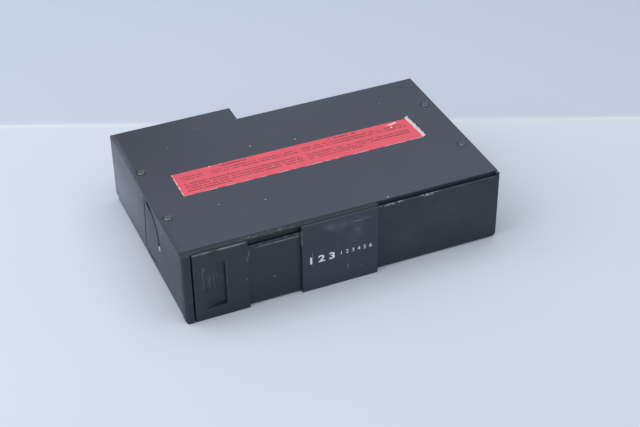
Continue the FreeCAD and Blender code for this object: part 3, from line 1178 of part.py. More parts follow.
def feed_screw():
    x0 = FEED_MOTOR_X + FEED_MOTOR_LENGTH + BODY_GAP
    return rod_x(x0, FRAME_X - BODY_GAP, SCREW_LINE_Y, ROD_Z, FEED_R)


# ---------------------------------------------------------------- electronics and sockets

def board_corners():
    return [(x, y) for x in (BOARD_LEFT + BOARD_INSET, BOARD_RIGHT - BOARD_INSET)
            for y in (BOARD_FRONT + BOARD_INSET, BOARD_REAR - BOARD_INSET)]


def main_board():
    return block(BOARD_LEFT, BOARD_RIGHT, BOARD_FRONT, BOARD_REAR, BOARD_LOW, BOARD_LOW + BOARD_T)


def chip(x, y, half_x, half_y, z):
    """Flat package with rows of legs on two sides."""
    body = block(x - half_x, x + half_x, y - half_y, y + half_y, z + LEG_T / 2, z + CHIP_T)
    starts = [x - half_x + i * LEG_PITCH for i in range(1, int(2 * half_x / LEG_PITCH))]
    legs = [block(start, start + LEG_WIDTH, y - half_y - LEG_REACH, y + half_y + LEG_REACH, z, z + LEG_T)
            for start in starts]
    return joined([body] + legs)


def main_chips():
    z = BOARD_LOW + BOARD_T
    return [chip(BOARD_LEFT + x, BOARD_FRONT + y, half_x, half_y, z) for x, y, half_x, half_y in CHIPS]


def round_parts():
    """Low coils and capacitors on the main board."""
    z = BOARD_LOW + BOARD_T
    return [rod_z(BOARD_LEFT + x, BOARD_FRONT + y, z, z + ROUND_H, ROUND_R) for x, y in ROUND_PLACES]


def board_connectors():
    """One at the back of the main board and one on the power board."""
    left, right = RIBBON_LEFT - PLUG_SIDE, RIBBON_RIGHT + PLUG_SIDE
    z, y = BOARD_LOW + BOARD_T, BOARD_REAR - PLUG_INSET
    upper = POWER_BOARD_LOW + PLUG_RISE
    return [block(left, right, y, y + PLUG_DEPTH, z, z + PLUG_T),
            block(left, right, POWER_BOARD_Y - PLUG_STAND, POWER_BOARD_Y, upper, upper + PLUG_STAND)]


def ribbon_cable():
    z = BOARD_LOW + BOARD_T + RIBBON_RISE
    start = BOARD_REAR - PLUG_INSET + PLUG_DEPTH
    return block(RIBBON_LEFT, RIBBON_RIGHT, start, POWER_BOARD_Y - PLUG_STAND, z, z + RIBBON_T)


def power_board():
    board = block(POWER_BOARD_LEFT, POWER_BOARD_RIGHT, POWER_BOARD_Y, POWER_BOARD_Y + BOARD_T,
                  POWER_BOARD_LOW, POWER_BOARD_HIGH)
    feet = [block(x, x + FOOT_WIDTH, POWER_BOARD_Y, POWER_BOARD_Y + BOARD_T, CHASSIS_WALL, POWER_BOARD_LOW)
            for x in (POWER_BOARD_LEFT + FOOT_INSET, POWER_BOARD_RIGHT - FOOT_INSET - FOOT_WIDTH)]
    return joined([board] + feet)


def filter_capacitors():
    y, z = POWER_BOARD_Y + BOARD_T, POWER_BOARD_HIGH - CAN_DOWN
    first = POWER_BOARD_LEFT + CAN_INSET
    return [rod_y(first + i * CAN_PITCH, y, y + CAN_LENGTH, z, CAN_R) for i in range(CAN_COUNT)]


def heat_sink():
    y = POWER_BOARD_Y + BOARD_T
    left, top = POWER_BOARD_LEFT + SINK_INSET, SINK_LOW + SINK_HEIGHT
    pitch = (SINK_LENGTH - FIN_T) / (FIN_COUNT - 1)
    base = block(left, left + SINK_LENGTH, y, y + SINK_BASE, SINK_LOW, top)
    fins = [block(left + i * pitch, left + i * pitch + FIN_T, y, y + FIN_DEPTH, SINK_LOW, top)
            for i in range(FIN_COUNT)]
    return joined([base] + fins)


def socket_body(z, half):
    back = SOCKET_FACE - CHASSIS_WALL
    return block(back - SOCKET_DEPTH, back, SOCKET_Y - half, SOCKET_Y + half, z - half, z + half)


def power_socket():
    """Square plug socket in the step of the rear panel, with three pins."""
    half = POWER_HALF - 0.1
    body = socket_body(POWER_Z, POWER_HALF + 1.0)
    mouth = block(SOCKET_FACE - CHASSIS_WALL, SOCKET_FACE + SOCKET_LIP, SOCKET_Y - half, SOCKET_Y + half,
                  POWER_Z - half, POWER_Z + half)
    inner = half - SOCKET_WALL
    hollow = block(SOCKET_FLOOR, SOCKET_FACE + SOCKET_LIP, SOCKET_Y - inner, SOCKET_Y + inner,
                   POWER_Z - inner, POWER_Z + inner)
    pins = [rod_x(SOCKET_FLOOR - 0.5, SOCKET_FLOOR + PIN_LENGTH, SOCKET_Y + dy, POWER_Z - 2.2, 0.8)
            for dy in (-3, 0, 3)]
    return joined([joined([body, mouth]).cut(hollow)] + pins)


def bus_socket():
    """Round plug socket above it, with eight pins in a ring."""
    body = socket_body(BUS_Z, BUS_R + 0.8)
    collar = rod_x(SOCKET_FACE - CHASSIS_WALL, SOCKET_FACE + SOCKET_LIP, SOCKET_Y, BUS_Z, BUS_R - 0.1)
    hollow = rod_x(SOCKET_FLOOR, SOCKET_FACE + SOCKET_LIP, SOCKET_Y, BUS_Z, BUS_R - SOCKET_WALL)
    pins = []
    for i in range(BUS_PINS):
        a = math.radians(120 + i * 300 / (BUS_PINS - 1))
        y, z = SOCKET_Y + BUS_PIN_RING * math.sin(a), BUS_Z + BUS_PIN_RING * math.cos(a)
        pins.append(rod_x(SOCKET_FLOOR - 0.5, SOCKET_FLOOR + PIN_LENGTH, y, z, 0.45))
    return joined([joined([body, collar]).cut(hollow)] + pins)


# ---------------------------------------------------------------- all pieces

def nodes():
    pieces = {
        "top_cover": top_cover(), "bottom_chassis": bottom_chassis(), "rear_panel": rear_panel(),
        "cover_screws": cover_screws(), "top_label": top_label(), "bracket_nuts": bracket_nuts(),
        "front_bezel": front_bezel(), "bezel_screws": bezel_screws(),
        "door_outer": door_outer(), "door_inner": door_inner(),
        "eject_button": eject_button(), "eject_spring": eject_spring(),
        "angle_lever_left": angle_lever(), "angle_lever_right": mirrored(angle_lever()),
        "suspension_springs": suspension_springs(), "dampers": dampers(),
        "mech_deck": mech_deck(), "guide_posts": guide_posts(),
        "ejector_arm": ejector_arm(), "ejector_spring": ejector_spring(),
        "tray_motor": tray_motor(), "tray_pinion": tray_pinion(), "drive_shaft": drive_shaft(),
        "tray_gear": tray_gear(), "lift_motor": lift_motor(), "lift_pinion": lift_pinion(),
        "lift_screw": lift_screw(), "elevator_frame": elevator_frame(),
        "traverse_plate": traverse_plate(), "guide_rods": guide_rods(), "spindle_motor": spindle_motor(),
        "turntable": turntable(), "clamp_arm": clamp_arm(), "clamp_puck": clamp_puck(),
        "pickup_sled": pickup_sled(), "pickup_lens": pickup_lens(), "feed_motor": feed_motor(),
        "feed_screw": feed_screw(), "magazine_case": magazine_case(),
        "main_board": main_board(), "board_components": main_chips() + round_parts(),
        "board_ribbon": board_connectors() + [ribbon_cable()], "power_board": power_board(),
        "filter_capacitors": filter_capacitors(), "heat_sink": heat_sink(),
        "power_socket": power_socket(), "bus_socket": bus_socket(),
    }
    for number in range(1, DISC_COUNT + 1):
        pieces[f"tray_{number}"] = disc_tray(number)
        pieces[f"disc_{number}"] = disc(number)
    return pieces


def save(name, shape):
    shape = Part.makeCompound(shape) if isinstance(shape, list) else shape.copy()
    shape.translate(Vector(-WIDTH / 2, -DEPTH / 2, 0))
    shape.exportStep(f"parts/{name}.step")


def main():
    os.makedirs("parts", exist_ok=True)
    for name, shape in nodes().items():
        save(name, shape)


main()
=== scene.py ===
"""Looks of a car CD changer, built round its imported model.

Places in the tables are millimetres from the left front bottom corner of the case, with X along the
front, Y towards the back and Z up. at() turns them into the frame's metres.
"""

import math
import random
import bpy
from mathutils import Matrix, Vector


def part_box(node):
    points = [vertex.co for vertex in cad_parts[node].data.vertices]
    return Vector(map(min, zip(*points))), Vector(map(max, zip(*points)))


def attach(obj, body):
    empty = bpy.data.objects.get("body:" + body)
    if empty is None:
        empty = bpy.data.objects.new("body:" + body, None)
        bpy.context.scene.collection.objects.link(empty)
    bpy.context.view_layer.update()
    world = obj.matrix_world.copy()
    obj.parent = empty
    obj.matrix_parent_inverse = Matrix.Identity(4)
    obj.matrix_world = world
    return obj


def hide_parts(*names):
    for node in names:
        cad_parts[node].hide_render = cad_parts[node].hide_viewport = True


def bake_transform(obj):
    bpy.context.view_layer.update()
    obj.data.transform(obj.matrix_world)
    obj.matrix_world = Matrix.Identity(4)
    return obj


bl_info = {
    "name": "Car CD changer",
    "version": (1, 0, 0),
    "blender": (4, 5, 0),
    "location": "View3D > Sidebar > Changer",
    "description": "Dresses the packed model of a car CD changer and sets its stage",
    "category": "Object",
}

import bmesh
import bpy
from bpy.props import FloatProperty, FloatVectorProperty, PointerProperty, StringProperty
from mathutils import Matrix, Vector

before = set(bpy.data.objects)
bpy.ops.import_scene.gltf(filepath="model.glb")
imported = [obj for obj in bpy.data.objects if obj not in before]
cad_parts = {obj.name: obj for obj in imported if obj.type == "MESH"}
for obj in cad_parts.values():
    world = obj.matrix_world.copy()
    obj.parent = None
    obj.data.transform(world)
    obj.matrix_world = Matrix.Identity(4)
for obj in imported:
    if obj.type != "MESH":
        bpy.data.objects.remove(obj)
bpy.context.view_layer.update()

MM = 0.001
X, Y, Z = (1, 0, 0), (0, 1, 0), (0, 0, 1)

# The case and what lies on it, in millimetres.
CASE = Vector((255.0, 175.0, 60.0))
STEP = (100.5, 157.0)                       # inner corner of the step in the cover's back
SCREWS = [(7.2, 51.0), (7.2, 115.3), (247.8, 51.0), (247.8, 115.3)]
# The band is painted shade: drawn near black to stand for the inside of the slot.
SLOT_MIDDLE, SLOT_HALF = 1.9, 1.3           # band behind each side, dark where the slot shows it
LABEL_LOW, LABEL_HIGH = (26.5, 71.7, 60.0), (224.6, 101.7, 60.12)
PANEL_LEFT, PANEL_FACE = 152.5, 4.1         # fixed panel of the bezel
PIN_X, PIN_Y = 87.6, 164.3                  # middle of both sockets

# What it holds.
SPRING_FROM_SIDE = 5.8
SPRING_YS = (65.4, 91.4)
SPRING_LOW, SPRING_LENGTH, SPRING_R = 15.7, 16.2, 1.1
HOOK_LOW, HOOK_HIGH = 14.6, 33.0
DISC_CENTRE = (78.0, 81.0)
SPINDLE = (172.0, 81.0)
TURNTABLE_TOP, PUCK_LOW = 11.4, 15.9
TRAY_FLOOR = 1.0
DISCS = range(1, 7)

# How a CAD shape is read: below FLAT two faces are one, up to CURVED they are strips of a curve, no wider
# than about STRIP millimetres, and past SHARP an edge stays crisp.
FLAT, CURVED, SHARP = math.radians(0.5), math.radians(36), math.radians(38)
STRIP = 1.5


def at(x, y, z):
    """A point of the case, given in millimetres, in the frame's metres."""
    return Vector((x - CASE.x / 2, y - CASE.y / 2, z)) * MM


def from_srgb(*parts):
    """A colour as it looks, 0 to 255, as the linear values that a shader takes."""
    return tuple(p / 255 / 12.92 if p < 10.3 else ((p / 255 + 0.055) / 1.055) ** 2.4 for p in parts)


# ---------------------------------------------------------------- finishes

class Finish:
    """A material, with short names for the nodes that give it colour, gloss and relief."""

    def __init__(self, name, colour, roughness, metallic=0.0, **sockets):
        self.mat = bpy.data.materials.new(name)
        self.mat.use_nodes = True
        self.mat.diffuse_color = (*colour, 1.0)
        self.tree = self.mat.node_tree
        self.shader = self.tree.nodes["Principled BSDF"]
        self.place = self.node("ShaderNodeTexCoord").outputs["Object"]
        self.colour = self.top = colour
        self.shader.inputs["Base Color"].default_value = (*colour, 1.0)
        self.shader.inputs["Roughness"].default_value = roughness
        self.shader.inputs["Metallic"].default_value = metallic
        for socket, value in sockets.items():
            self.shader.inputs[socket.replace("_", " ")].default_value = value

    def node(self, kind, settings=None, **inputs):
        made = self.tree.nodes.new(kind)
        for key, value in (settings or {}).items():
            setattr(made, key, value)
        for key, value in inputs.items():
            numbered = key[0] == "i" and key[1:].isdigit()
            self.feed(made.inputs[int(key[1:]) if numbered else key.replace("_", " ")], value)
        return made

    def feed(self, socket, value):
        if isinstance(value, bpy.types.NodeSocket):
            self.tree.links.new(value, socket)
        else:
            socket.default_value = value

    def math(self, operation, a, b=0.0):
        return self.node("ShaderNodeMath", {"operation": operation}, i0=a, i1=b).outputs[0]

    def moved(self, offset=(0, 0, 0), turn=(0, 0, 0), scale=(1, 1, 1), kind="POINT"):
        """The piece's coordinates through a Mapping node."""
        made = self.node("ShaderNodeMapping", {"vector_type": kind}, Vector=self.place, Location=offset,
                         Rotation=turn, Scale=scale)
        return made.outputs[0]

    def noise(self, scale, detail=3.0, stretch=(1, 1, 1)):
        where = self.moved(scale=stretch)
        return self.node("ShaderNodeTexNoise", None, Vector=where, Scale=scale, Detail=detail).outputs["Fac"]

    def cells(self, scale, output="Color"):
        return self.node("ShaderNodeTexVoronoi", None, Vector=self.place, Scale=scale).outputs[output]

    def between(self, value, low, high, out_low=0.0, out_high=1.0):
        """value, from out_low at low to out_high at high, held within those."""
        made = self.node("ShaderNodeMapRange", {"clamp": True}, i0=value, i1=low, i2=high, i3=out_low,
                         i4=out_high)
        return made.outputs[0]

    def from_point(self, *point):
        """Across, back and up from a point of the case, in millimetres."""
        local = self.moved(at(*point), kind="TEXTURE", scale=(MM, MM, MM))
        return self.node("ShaderNodeSeparateXYZ", None, i0=local).outputs

    def spot(self, centre, size, turn=(0, 0, 0), soft=0.5):
        """1 inside an ellipse and 0 outside it, with a soft rim; centre and size in millimetres."""
        local = self.moved(at(*centre), turn, [s * MM for s in size], "TEXTURE")
        far = self.node("ShaderNodeVectorMath", {"operation": "LENGTH"}, i0=local).outputs["Value"]
        return self.between(far, 1.0, 1.0 - soft)

    def box(self, low, high, soft=0.3):
        """1 inside a box and 0 outside it; corners and soft rim in millimetres."""
        sides = self.from_point(*[(a + b) / 2 for a, b in zip(low, high)])
        inside = [self.between(self.math("ABSOLUTE", side), (b - a) / 2, (b - a) / 2 - soft)
                  for side, a, b in zip(sides, low, high)]
        return self.times(*inside)

    def most(self, masks):
        """The largest of several masks."""
        best = masks[0]
        for mask in masks[1:]:
            best = self.math("MAXIMUM", best, mask)
        return best

    def spots(self, rows, soft=0.5):
        """Several spots as one mask; a row is a centre, a size and, where it leans, a turn."""
        return self.most([self.spot(*row, soft=soft) for row in rows])

    def boxes(self, rows):
        """Several boxes as one mask; a row is two corners and, where it has its own, a soft rim."""
        return self.most([self.box(*row) for row in rows])

    def times(self, *masks):
        """The product of several masks."""
        product = masks[0]
        for mask in masks[1:]:
            product = self.math("MULTIPLY", product, mask)
        return product

    def over(self, mask, colour, share=None):
        """Lays a colour over what is there, where the mask says and thinned to that share."""
        mask = mask if share is None else self.times(mask, share)
        first, second = [c if isinstance(c, bpy.types.NodeSocket) else (*c[:3], 1.0)
                         for c in (self.top, colour)]
        made = self.node("ShaderNodeMix", {"data_type": "RGBA"}, i0=mask, i6=first, i7=second)
        self.top = made.outputs[2]
        self.feed(self.shader.inputs["Base Color"], self.top)
        return self

    def tone(self, mask, factor):
        """Draws what is there towards the first colour times factor."""
        return self.over(mask, tuple(min(1.0, c * factor) for c in self.colour))

    def gloss(self, value):
        self.feed(self.shader.inputs["Roughness"], value)
        return self

    def relief(self, height, depth, strength=0.6):
        """Bump of that depth in millimetres, on top of any that is there."""
        bump = self.node("ShaderNodeBump", None, Strength=strength, Distance=depth * MM, Height=height)
        before = self.shader.inputs["Normal"].links
        if before:
            self.feed(bump.inputs["Normal"], before[0].from_socket)
        self.feed(self.shader.inputs["Normal"], bump.outputs[0])
        return self


def grained_plastic(name, colour, roughness=0.5, grain=1400, depth=0.03, vary=0.12):
    """Moulded plastic: an even colour that wanders a little, and a fine grain."""
    f = Finish(name, colour, roughness)
    fine = f.noise(grain, 2)
    f.tone(f.between(fine, 0.35, 0.75), 1 - vary)
    f.tone(f.noise(26, 2), 1 + vary)
    f.gloss(f.between(f.noise(90, 3), 0.3, 0.7, roughness - 0.07, roughness + 0.09))
    return f.relief(fine, depth)


def plated_sheet(name, colour, roughness=0.36):
    """Zinc-plated sheet: crystals of slightly different grey, and rolling marks along X."""
    f = Finish(name, colour, roughness, 0.9)
    crystals = f.node("ShaderNodeSeparateColor", None, Color=f.cells(190)).outputs[0]
    rolled = f.noise(240, 3, (0.06, 1, 1))
    f.tone(rolled, 1.1)
    f.tone(crystals, 0.82)
    f.gloss(f.between(crystals, 0, 1, roughness - 0.08, roughness + 0.12))
    return f.relief(rolled, 0.012)


def bright_metal(name, colour, roughness=0.26, lines=900, along=(1, 1, 0.05)):
    """Bright metal with fine lines from turning, drawing or grinding."""
    f = Finish(name, colour, roughness, 1.0)
    marks = f.noise(lines, 3, along)
    f.tone(f.noise(60, 2), 0.82)
    f.gloss(f.between(marks, 0.3, 0.7, max(0.05, roughness - 0.1), roughness + 0.12))
    return f.relief(marks, 0.01)


def soft_finish(name, colour, roughness=0.4, **sockets):
    """A finish whose small changes of colour and gloss follow one soft noise."""
    f = Finish(name, colour, roughness, **sockets)
    soft = f.noise(120, 3)
    f.tone(soft, 0.84)
    f.gloss(f.between(soft, 0.3, 0.7, roughness - 0.05, roughness + 0.08))
    return f.relief(f.noise(800, 2), 0.008)


def coated_glass(name, colour, roughness):
    """Glass as it looks from outside: a dark gloss under a clear coat."""
    return soft_finish(name, colour, roughness, Coat_Weight=1.0, Coat_Roughness=0.03)


def cover_paint(name):
    """Dark blue-grey paint on steel, with dust, a few chips and worn places, and painted light: shade on the
    left side's front and the top's back, a pale sheen on the side's rear, dark screw dimples and black side
    slots.
    """
    look = bpy.context.scene.changer_case
    f = Finish(name, tuple(look.cover_colour), look.cover_roughness)
    fine = f.noise(1500, 2)
    smear = f.noise(22, 4, (0.35, 1, 1))
    f.tone(f.between(smear, 0.45, 0.75), 0.93)
    f.tone(f.between(f.noise(9, 2), 0.35, 0.65), 1.12)
    # painted shade: the left side's front half and the top's back left are drawn darker
    shaded = f.most([f.spot((0, 20, 30), (6, 75, 60), soft=0.7), f.spot((0, 160, 60), (95, 90, 4), soft=0.9)])
    f.tone(shaded, 0.72)
    # painted light: a pale sheen laid over the rear half of the left side
    painted_sheen = f.times(f.spot((0, 165, 25), (6, 90, 60), soft=0.9), f.between(f.noise(30, 3), 0.2, 0.6, 0.5, 1.0))
    f.over(painted_sheen, (0.36, 0.40, 0.46), 0.42)
    # painted shade: dark rings in the dimples round the screws
    rims = f.spots([((x, y, 60), (4.2, 4.2, 3)) for x, y in SCREWS], 0.35)
    f.over(rims, (0.012, 0.013, 0.016), 0.45)
    dust = f.times(f.between(f.cells(330, "Distance"), 0.10, 0.05), f.between(f.noise(35, 2), 0.5, 0.7), 0.10)
    f.over(dust, (0.5, 0.53, 0.58))
    chips = [((95.8, 115.5, 60), (0.9, 0.7, 2)), ((131.6, 110.3, 60), (0.8, 0.6, 2)),
             ((80.4, 43.3, 60), (0.7, 0.6, 2)), ((164.0, 9.6, 60), (0.8, 0.6, 2)),
             ((46.9, 51.2, 60), (0.5, 0.5, 1)), ((36.0, 139.0, 60), (0.45, 0.45, 1)),
             ((214.0, 131.0, 60), (0.5, 0.4, 1)), ((0, 94.2, 54.4), (2, 0.9, 0.9)),
             ((0, 79.8, 9.6), (2, 0.8, 0.8)), ((0, 46.9, 51.2), (2, 0.8, 0.7)),
             ((0, 29.0, 16.0), (2, 0.7, 0.6)), ((0, 150.0, 31.0), (2, 0.6, 0.6))]
    f.over(f.spots(chips), (0.55, 0.58, 0.63))
    scratches = [((64.8, 156.5, 60), (5.5, 0.3, 1), (0, 0, 0.05)),
                 ((120.2, 128.3, 60), (4.5, 0.25, 1), (0, 0, -0.03)),
                 ((196.0, 66.0, 60), (7.0, 0.2, 1), (0, 0, 0.5)),
                 ((58.0, 36.0, 60), (6.0, 0.2, 1), (0, 0, -0.35))]
    f.over(f.spots(scratches, 0.8), (0.42, 0.45, 0.5), 0.35)
    # painted shade: the bands behind the side slots are drawn near black, as the inside of the slot
    dark = f.boxes([((x - SLOT_HALF, 50, 20), (x + SLOT_HALF, 106, 59), 0.1)
                    for x in (SLOT_MIDDLE, CASE.x - SLOT_MIDDLE)])
    # two dark spots on the left side: the lower one is a painted shadow under the lever's knob, the upper one
    # a dark spot near the top edge
    knob_shadow_and_spot = f.spots([((0, 52.3, 28.7), (1, 0.9, 0.7)), ((0, 43.3, 55.5), (1, 0.9, 0.8))])
    f.over(f.most([dark, f.times(knob_shadow_and_spot, 0.8)]), (0.002, 0.002, 0.003))
    f.gloss(f.between(smear, 0.3, 0.7, look.cover_roughness - 0.05, look.cover_roughness + 0.08))
    return f.relief(fine, 0.02, 0.5)


def front_plastic(name):
    """Dark grained plastic of the bezel, worn along its bar and the panel's upper edge, with a painted sheen
    on the panel's right part and painted shade in the gaps along the bar.
    """
    look = bpy.context.scene.changer_case
    f = grained_plastic(name, tuple(look.plastic_colour), look.plastic_roughness, vary=0.08)
    f.tone(f.box((153, -1, -1), (256, 6, 61), 2), 1.12)
    patches = [((66, 5.0, 60), (26, 3.4, 1.4)), ((4, 1.2, 60), (3, 1.4, 1.2)),
               ((253, 5.5, 59.5), (2.5, 1.6, 1.5))]
    worn = f.times(f.spots(patches, 0.6), f.between(f.noise(700, 4, (0.35, 1, 1)), 0.52, 0.64), 0.5)
    f.over(worn, (0.27, 0.31, 0.37))
    specks = [((165, 4.6, 57), (12, 1.4, 2.0)), ((197, 4.6, 57), (10, 1.4, 2.0))]
    speck = f.times(f.spots(specks), f.between(f.noise(950, 2, (0.6, 1, 1)), 0.54, 0.60), 0.85)
    f.over(speck, (0.42, 0.46, 0.52))
    # painted reflection: pale patches on the right part of the fixed panel
    painted_sheen = f.spots([((215, 4, 40), (38, 9, 22)), ((176, 4, 22), (20, 9, 14))], 0.9)
    f.over(painted_sheen, (0.11, 0.14, 0.18), 0.1)
    # painted shade: thin bands in front of and behind the bar are drawn near black, as shadow gaps
    darkened = f.boxes([((8.4, 2, 57), (153, 3.1, 60.5), 0.2), ((8.4, 6.5, 57), (153, 8, 60.5), 0.3)])
    return f.over(darkened, (0.004, 0.004, 0.005), 0.85)


def leaf_plastic(name):
    """The door leaves' plastic: finger marks, thin pale edges and a few nicks; the pale line on the inner
    leaf's top front edge is a painted highlight, the other pale edges are wear.
    """
    look = bpy.context.scene.changer_case
    f = grained_plastic(name, tuple(look.plastic_colour), look.plastic_roughness - 0.04, vary=0.08)
    f.tone(f.box((91.5, -1, -1), (160, 9, 61), 0.2), 1.65)
    # thin pale lines: on the inner leaf's top front edge a painted highlight, on the sunk lip and the leaf's
    # right edge wear
    edge_highlight_and_wear = f.boxes([((8, -0.3, 59.1), (49.4, 0.8, 60.3)), ((50.2, 1.6, 50.9), (90, 3, 51.9)),
                      ((90.8, -0.3, 44), (91.6, 3, 56))])
    edge_highlight_and_wear = f.times(edge_highlight_and_wear, f.between(f.noise(160, 3, (0.6, 1, 1)), 0.36, 0.56), 0.62)
    f.over(edge_highlight_and_wear, (0.34, 0.37, 0.41))
    marks = [((49.8, 1, 47.5), (2.6, 5, 7.5)), ((15.4, 0, 45.2), (1.3, 9, 2.4)),
             ((31.8, 0, 46.2), (1.4, 9, 2.6)), ((60, 2, 53.2), (9, 1.5, 1.2)),
             ((78, 2, 54), (8, 1.5, 1.0)), ((88.5, 2, 54), (2.0, 2, 2.0))]
    worn = f.times(f.spots(marks, 0.7), f.between(f.noise(260, 4, (1, 1, 0.35)), 0.47, 0.62), 0.5)
    f.over(worn, (0.30, 0.33, 0.37))
    streaks = f.times(f.spot((23.5, 1, 32), (9, 9, 9), soft=0.6),
                      f.between(f.noise(150, 2, (9, 1, 0.3)), 0.5, 0.6))
    outline = f.boxes([((14.4, -0.3, 27), (15.1, 1, 46)), ((32.6, -0.3, 26), (33.3, 1, 47))])
    outline = f.times(outline, f.between(f.noise(90, 3), 0.4, 0.55))
    f.over(f.most([f.times(streaks, 0.6), outline]), (0.30, 0.33, 0.37), 0.3)
    lean = (0, 0.35, 0)
    smudges = [((128, 0, 50), (16, 9, 9), lean), ((134, 0, 45), (9, 9, 12), lean),
               ((139, 0, 55.5), (10, 9, 2.2), lean), ((112, 0, 55), (12, 9, 5), lean)]
    smudge = f.times(f.spots(smudges, 0.9), f.between(f.noise(70, 4), 0.4, 0.75), 0.36)
    f.over(smudge, (0.24, 0.26, 0.30))
    nicks = [((70, 2.4, 21), (1.3, 9, 0.5)), ((48, 0, 27), (0.6, 9, 0.5)), ((127.5, 0, 14), (0.4, 9, 3.0)),
             ((138.6, 0, 11), (0.6, 9, 0.5)), ((136, 0, 53.2), (5.5, 9, 0.35)), ((99, 0, 33), (0.3, 9, 3))]
    f.over(f.spots(nicks, 0.6), (0.40, 0.43, 0.47), 0.6)
    # a dark patch low on the inner leaf, below the grip
    darkened = f.times(f.spot((22, 0, 14), (8, 9, 4), soft=0.8), 0.6)
    return f.over(darkened, tuple(c * 0.35 for c in f.colour))


def label_film(name):
    """Red printed film with blocks of dashed rows, worn bare in places, and a broken painted highlight along
    its front and left edges.
    """
    look = bpy.context.scene.changer_label
    f = Finish(name, tuple(look.colour), 0.5)
    across, back, _ = f.from_point(*LABEL_LOW)

    def inside(x0, x1, y0, y1):
        return f.times(f.math("GREATER_THAN", across, x0), f.math("LESS_THAN", across, x1),
                       f.math("GREATER_THAN", back, y0), f.math("LESS_THAN", back, y1))

    def dashed(length):
        """Dashes of uneven length: cells along a row, of which one in ten is left out."""
        cell = f.math("FLOOR", f.math("DIVIDE", across, length))
        row = f.math("FLOOR", f.math("DIVIDE", back, look.row_pitch))
        key = f.node("ShaderNodeCombineXYZ", None, X=cell, Y=row).outputs[0]
        value = f.node("ShaderNodeTexWhiteNoise", {"noise_dimensions": "2D"}, Vector=key).outputs["Value"]
        return f.math("GREATER_THAN", value, 0.1)

    row_place = f.math("DIVIDE", f.math("SUBTRACT", back, 0.9), look.row_pitch)
    rows = f.math("LESS_THAN", f.math("FRACT", row_place), 0.48)
    blocks = [(5, 100, 6.5, 16.2), (5, 40, 3.2, 6.6), (5, 22, 18.8, 25), (30, 100, 18.8, 25),
              (104, 192, 9.6, 16.2), (104, 150, 6.5, 9.7), (104, 193, 18.8, 25)]
    ink = f.times(f.most([inside(*b) for b in blocks]), rows, dashed(1.9), dashed(0.7))
    heads = f.times(f.most([inside(38, 60, 26.4, 28.3), inside(128, 152, 26.4, 28.3)]), dashed(2.6))
    faded = f.between(f.noise(60, 3), 0.25, 0.7, 0.42, 0.8)
    f.tone(f.between(f.noise(30, 3), 0.3, 0.7), 1.12)
    f.over(f.times(f.most([ink, heads]), faded), (0.10, 0.035, 0.05))
    bare = f.spots([((209.0, 98.6, 60), (4.2, 0.7, 1), (0, 0, 0.12)), ((207.6, 94.6, 60), (1.0, 0.8, 1)),
                    ((212.6, 99.6, 60), (2.0, 0.6, 1)), ((57.0, 101.4, 60), (0.9, 0.7, 1)),
                    ((66.0, 101.5, 60), (0.7, 0.5, 1)), ((101.0, 82.0, 60), (0.7, 0.3, 1))], 0.3)
    # painted highlight: a broken pale line along the film's front and left edges; the bare spots mixed with
    # it are wear
    rim = f.times(f.most([f.math("LESS_THAN", across, 0.55), f.math("LESS_THAN", back, 0.3)]),
                  f.between(f.noise(150, 3), 0.42, 0.52))
    f.over(f.most([bare, rim]), (0.80, 0.74, 0.76))
    f.gloss(f.between(f.noise(200, 3), 0.3, 0.7, 0.42, 0.6))
    return f.relief(f.noise(90, 3), 0.05, 0.4)


def disc_face(name):
    """Silvered disc: fine rings, a painted rainbow sheen in four beams round it, and a clear hub."""
    f = Finish(name, (0.74, 0.75, 0.78), 0.14, 1.0)
    x, y, _ = f.from_point(*DISC_CENTRE, 0)
    radius = f.math("SQRT", f.math("ADD", f.times(x, x), f.times(y, y)))
    angle = f.math("ARCTAN2", y, x)
    # painted reflection: a rainbow sheen laid in four beams over the data area, as diffracted light
    hue = f.math("FRACT", f.math("ADD", f.math("MULTIPLY", angle, 0.64), f.math("MULTIPLY", radius, 0.01)))
    sheen = f.node("ShaderNodeCombineColor", {"mode": "HSV"}, i0=hue, i1=0.32, i2=0.85).outputs[0]
    beams = f.between(f.math("SINE", f.math("MULTIPLY", angle, 4.0)), 0.3, 1.0)
    data = f.times(f.math("GREATER_THAN", radius, 23.0), f.math("LESS_THAN", radius, 58.2))
    f.over(f.times(beams, data), sheen, 0.7)
    hub = f.math("LESS_THAN", radius, 21.0)
    f.over(hub, (0.45, 0.47, 0.50), 0.75)
    rings = f.math("SINE", f.math("MULTIPLY", radius, 16.0))
    f.over(f.between(rings, 0.2, 1.0), (0.2, 0.2, 0.22), 0.08)
    f.gloss(f.between(hub, 0, 1, 0.14, 0.3))
    return f.relief(rings, 0.004, 0.3)


def board_mask(name, scale, turn=(0, 0, 0)):
    """Green solder mask over copper tracks, with bright pads."""
    f = Finish(name, (0.012, 0.105, 0.045), 0.32)
    brick = f.node("ShaderNodeTexBrick", {"offset": 0.37, "squash": 1.6, "squash_frequency": 3},
                   Vector=f.moved(turn=turn), Scale=scale, Color1=(0, 0, 0, 1), Color2=(0.25, 0.25, 0.25, 1),
                   Mortar=(1, 1, 1, 1), Mortar_Size=0.06, Brick_Width=0.5, Row_Height=0.11)
    tracks = f.node("ShaderNodeSeparateColor", None, Color=brick.outputs["Color"]).outputs[0]
    pads = f.times(f.between(f.cells(260, "Distance"), 0.22, 0.16),
                   f.math("GREATER_THAN", f.noise(60, 1), 0.52))
    f.tone(f.noise(40, 2), 0.8)
    f.over(tracks, (0.05, 0.22, 0.09), 0.55)
    f.over(pads, (0.62, 0.60, 0.54))
    return f.relief(tracks, 0.04)


def ribbon_jacket(name):
    """Grey ribbon cable: a groove between each pair of its cores."""
    f = Finish(name, (0.38, 0.39, 0.41), 0.45)
    settings = {"wave_type": "BANDS", "bands_direction": "X"}
    cores = f.node("ShaderNodeTexWave", settings, Vector=f.place, Scale=390.0).outputs["Fac"]
    f.tone(cores, 0.6)
    return f.relief(cores, 0.2)


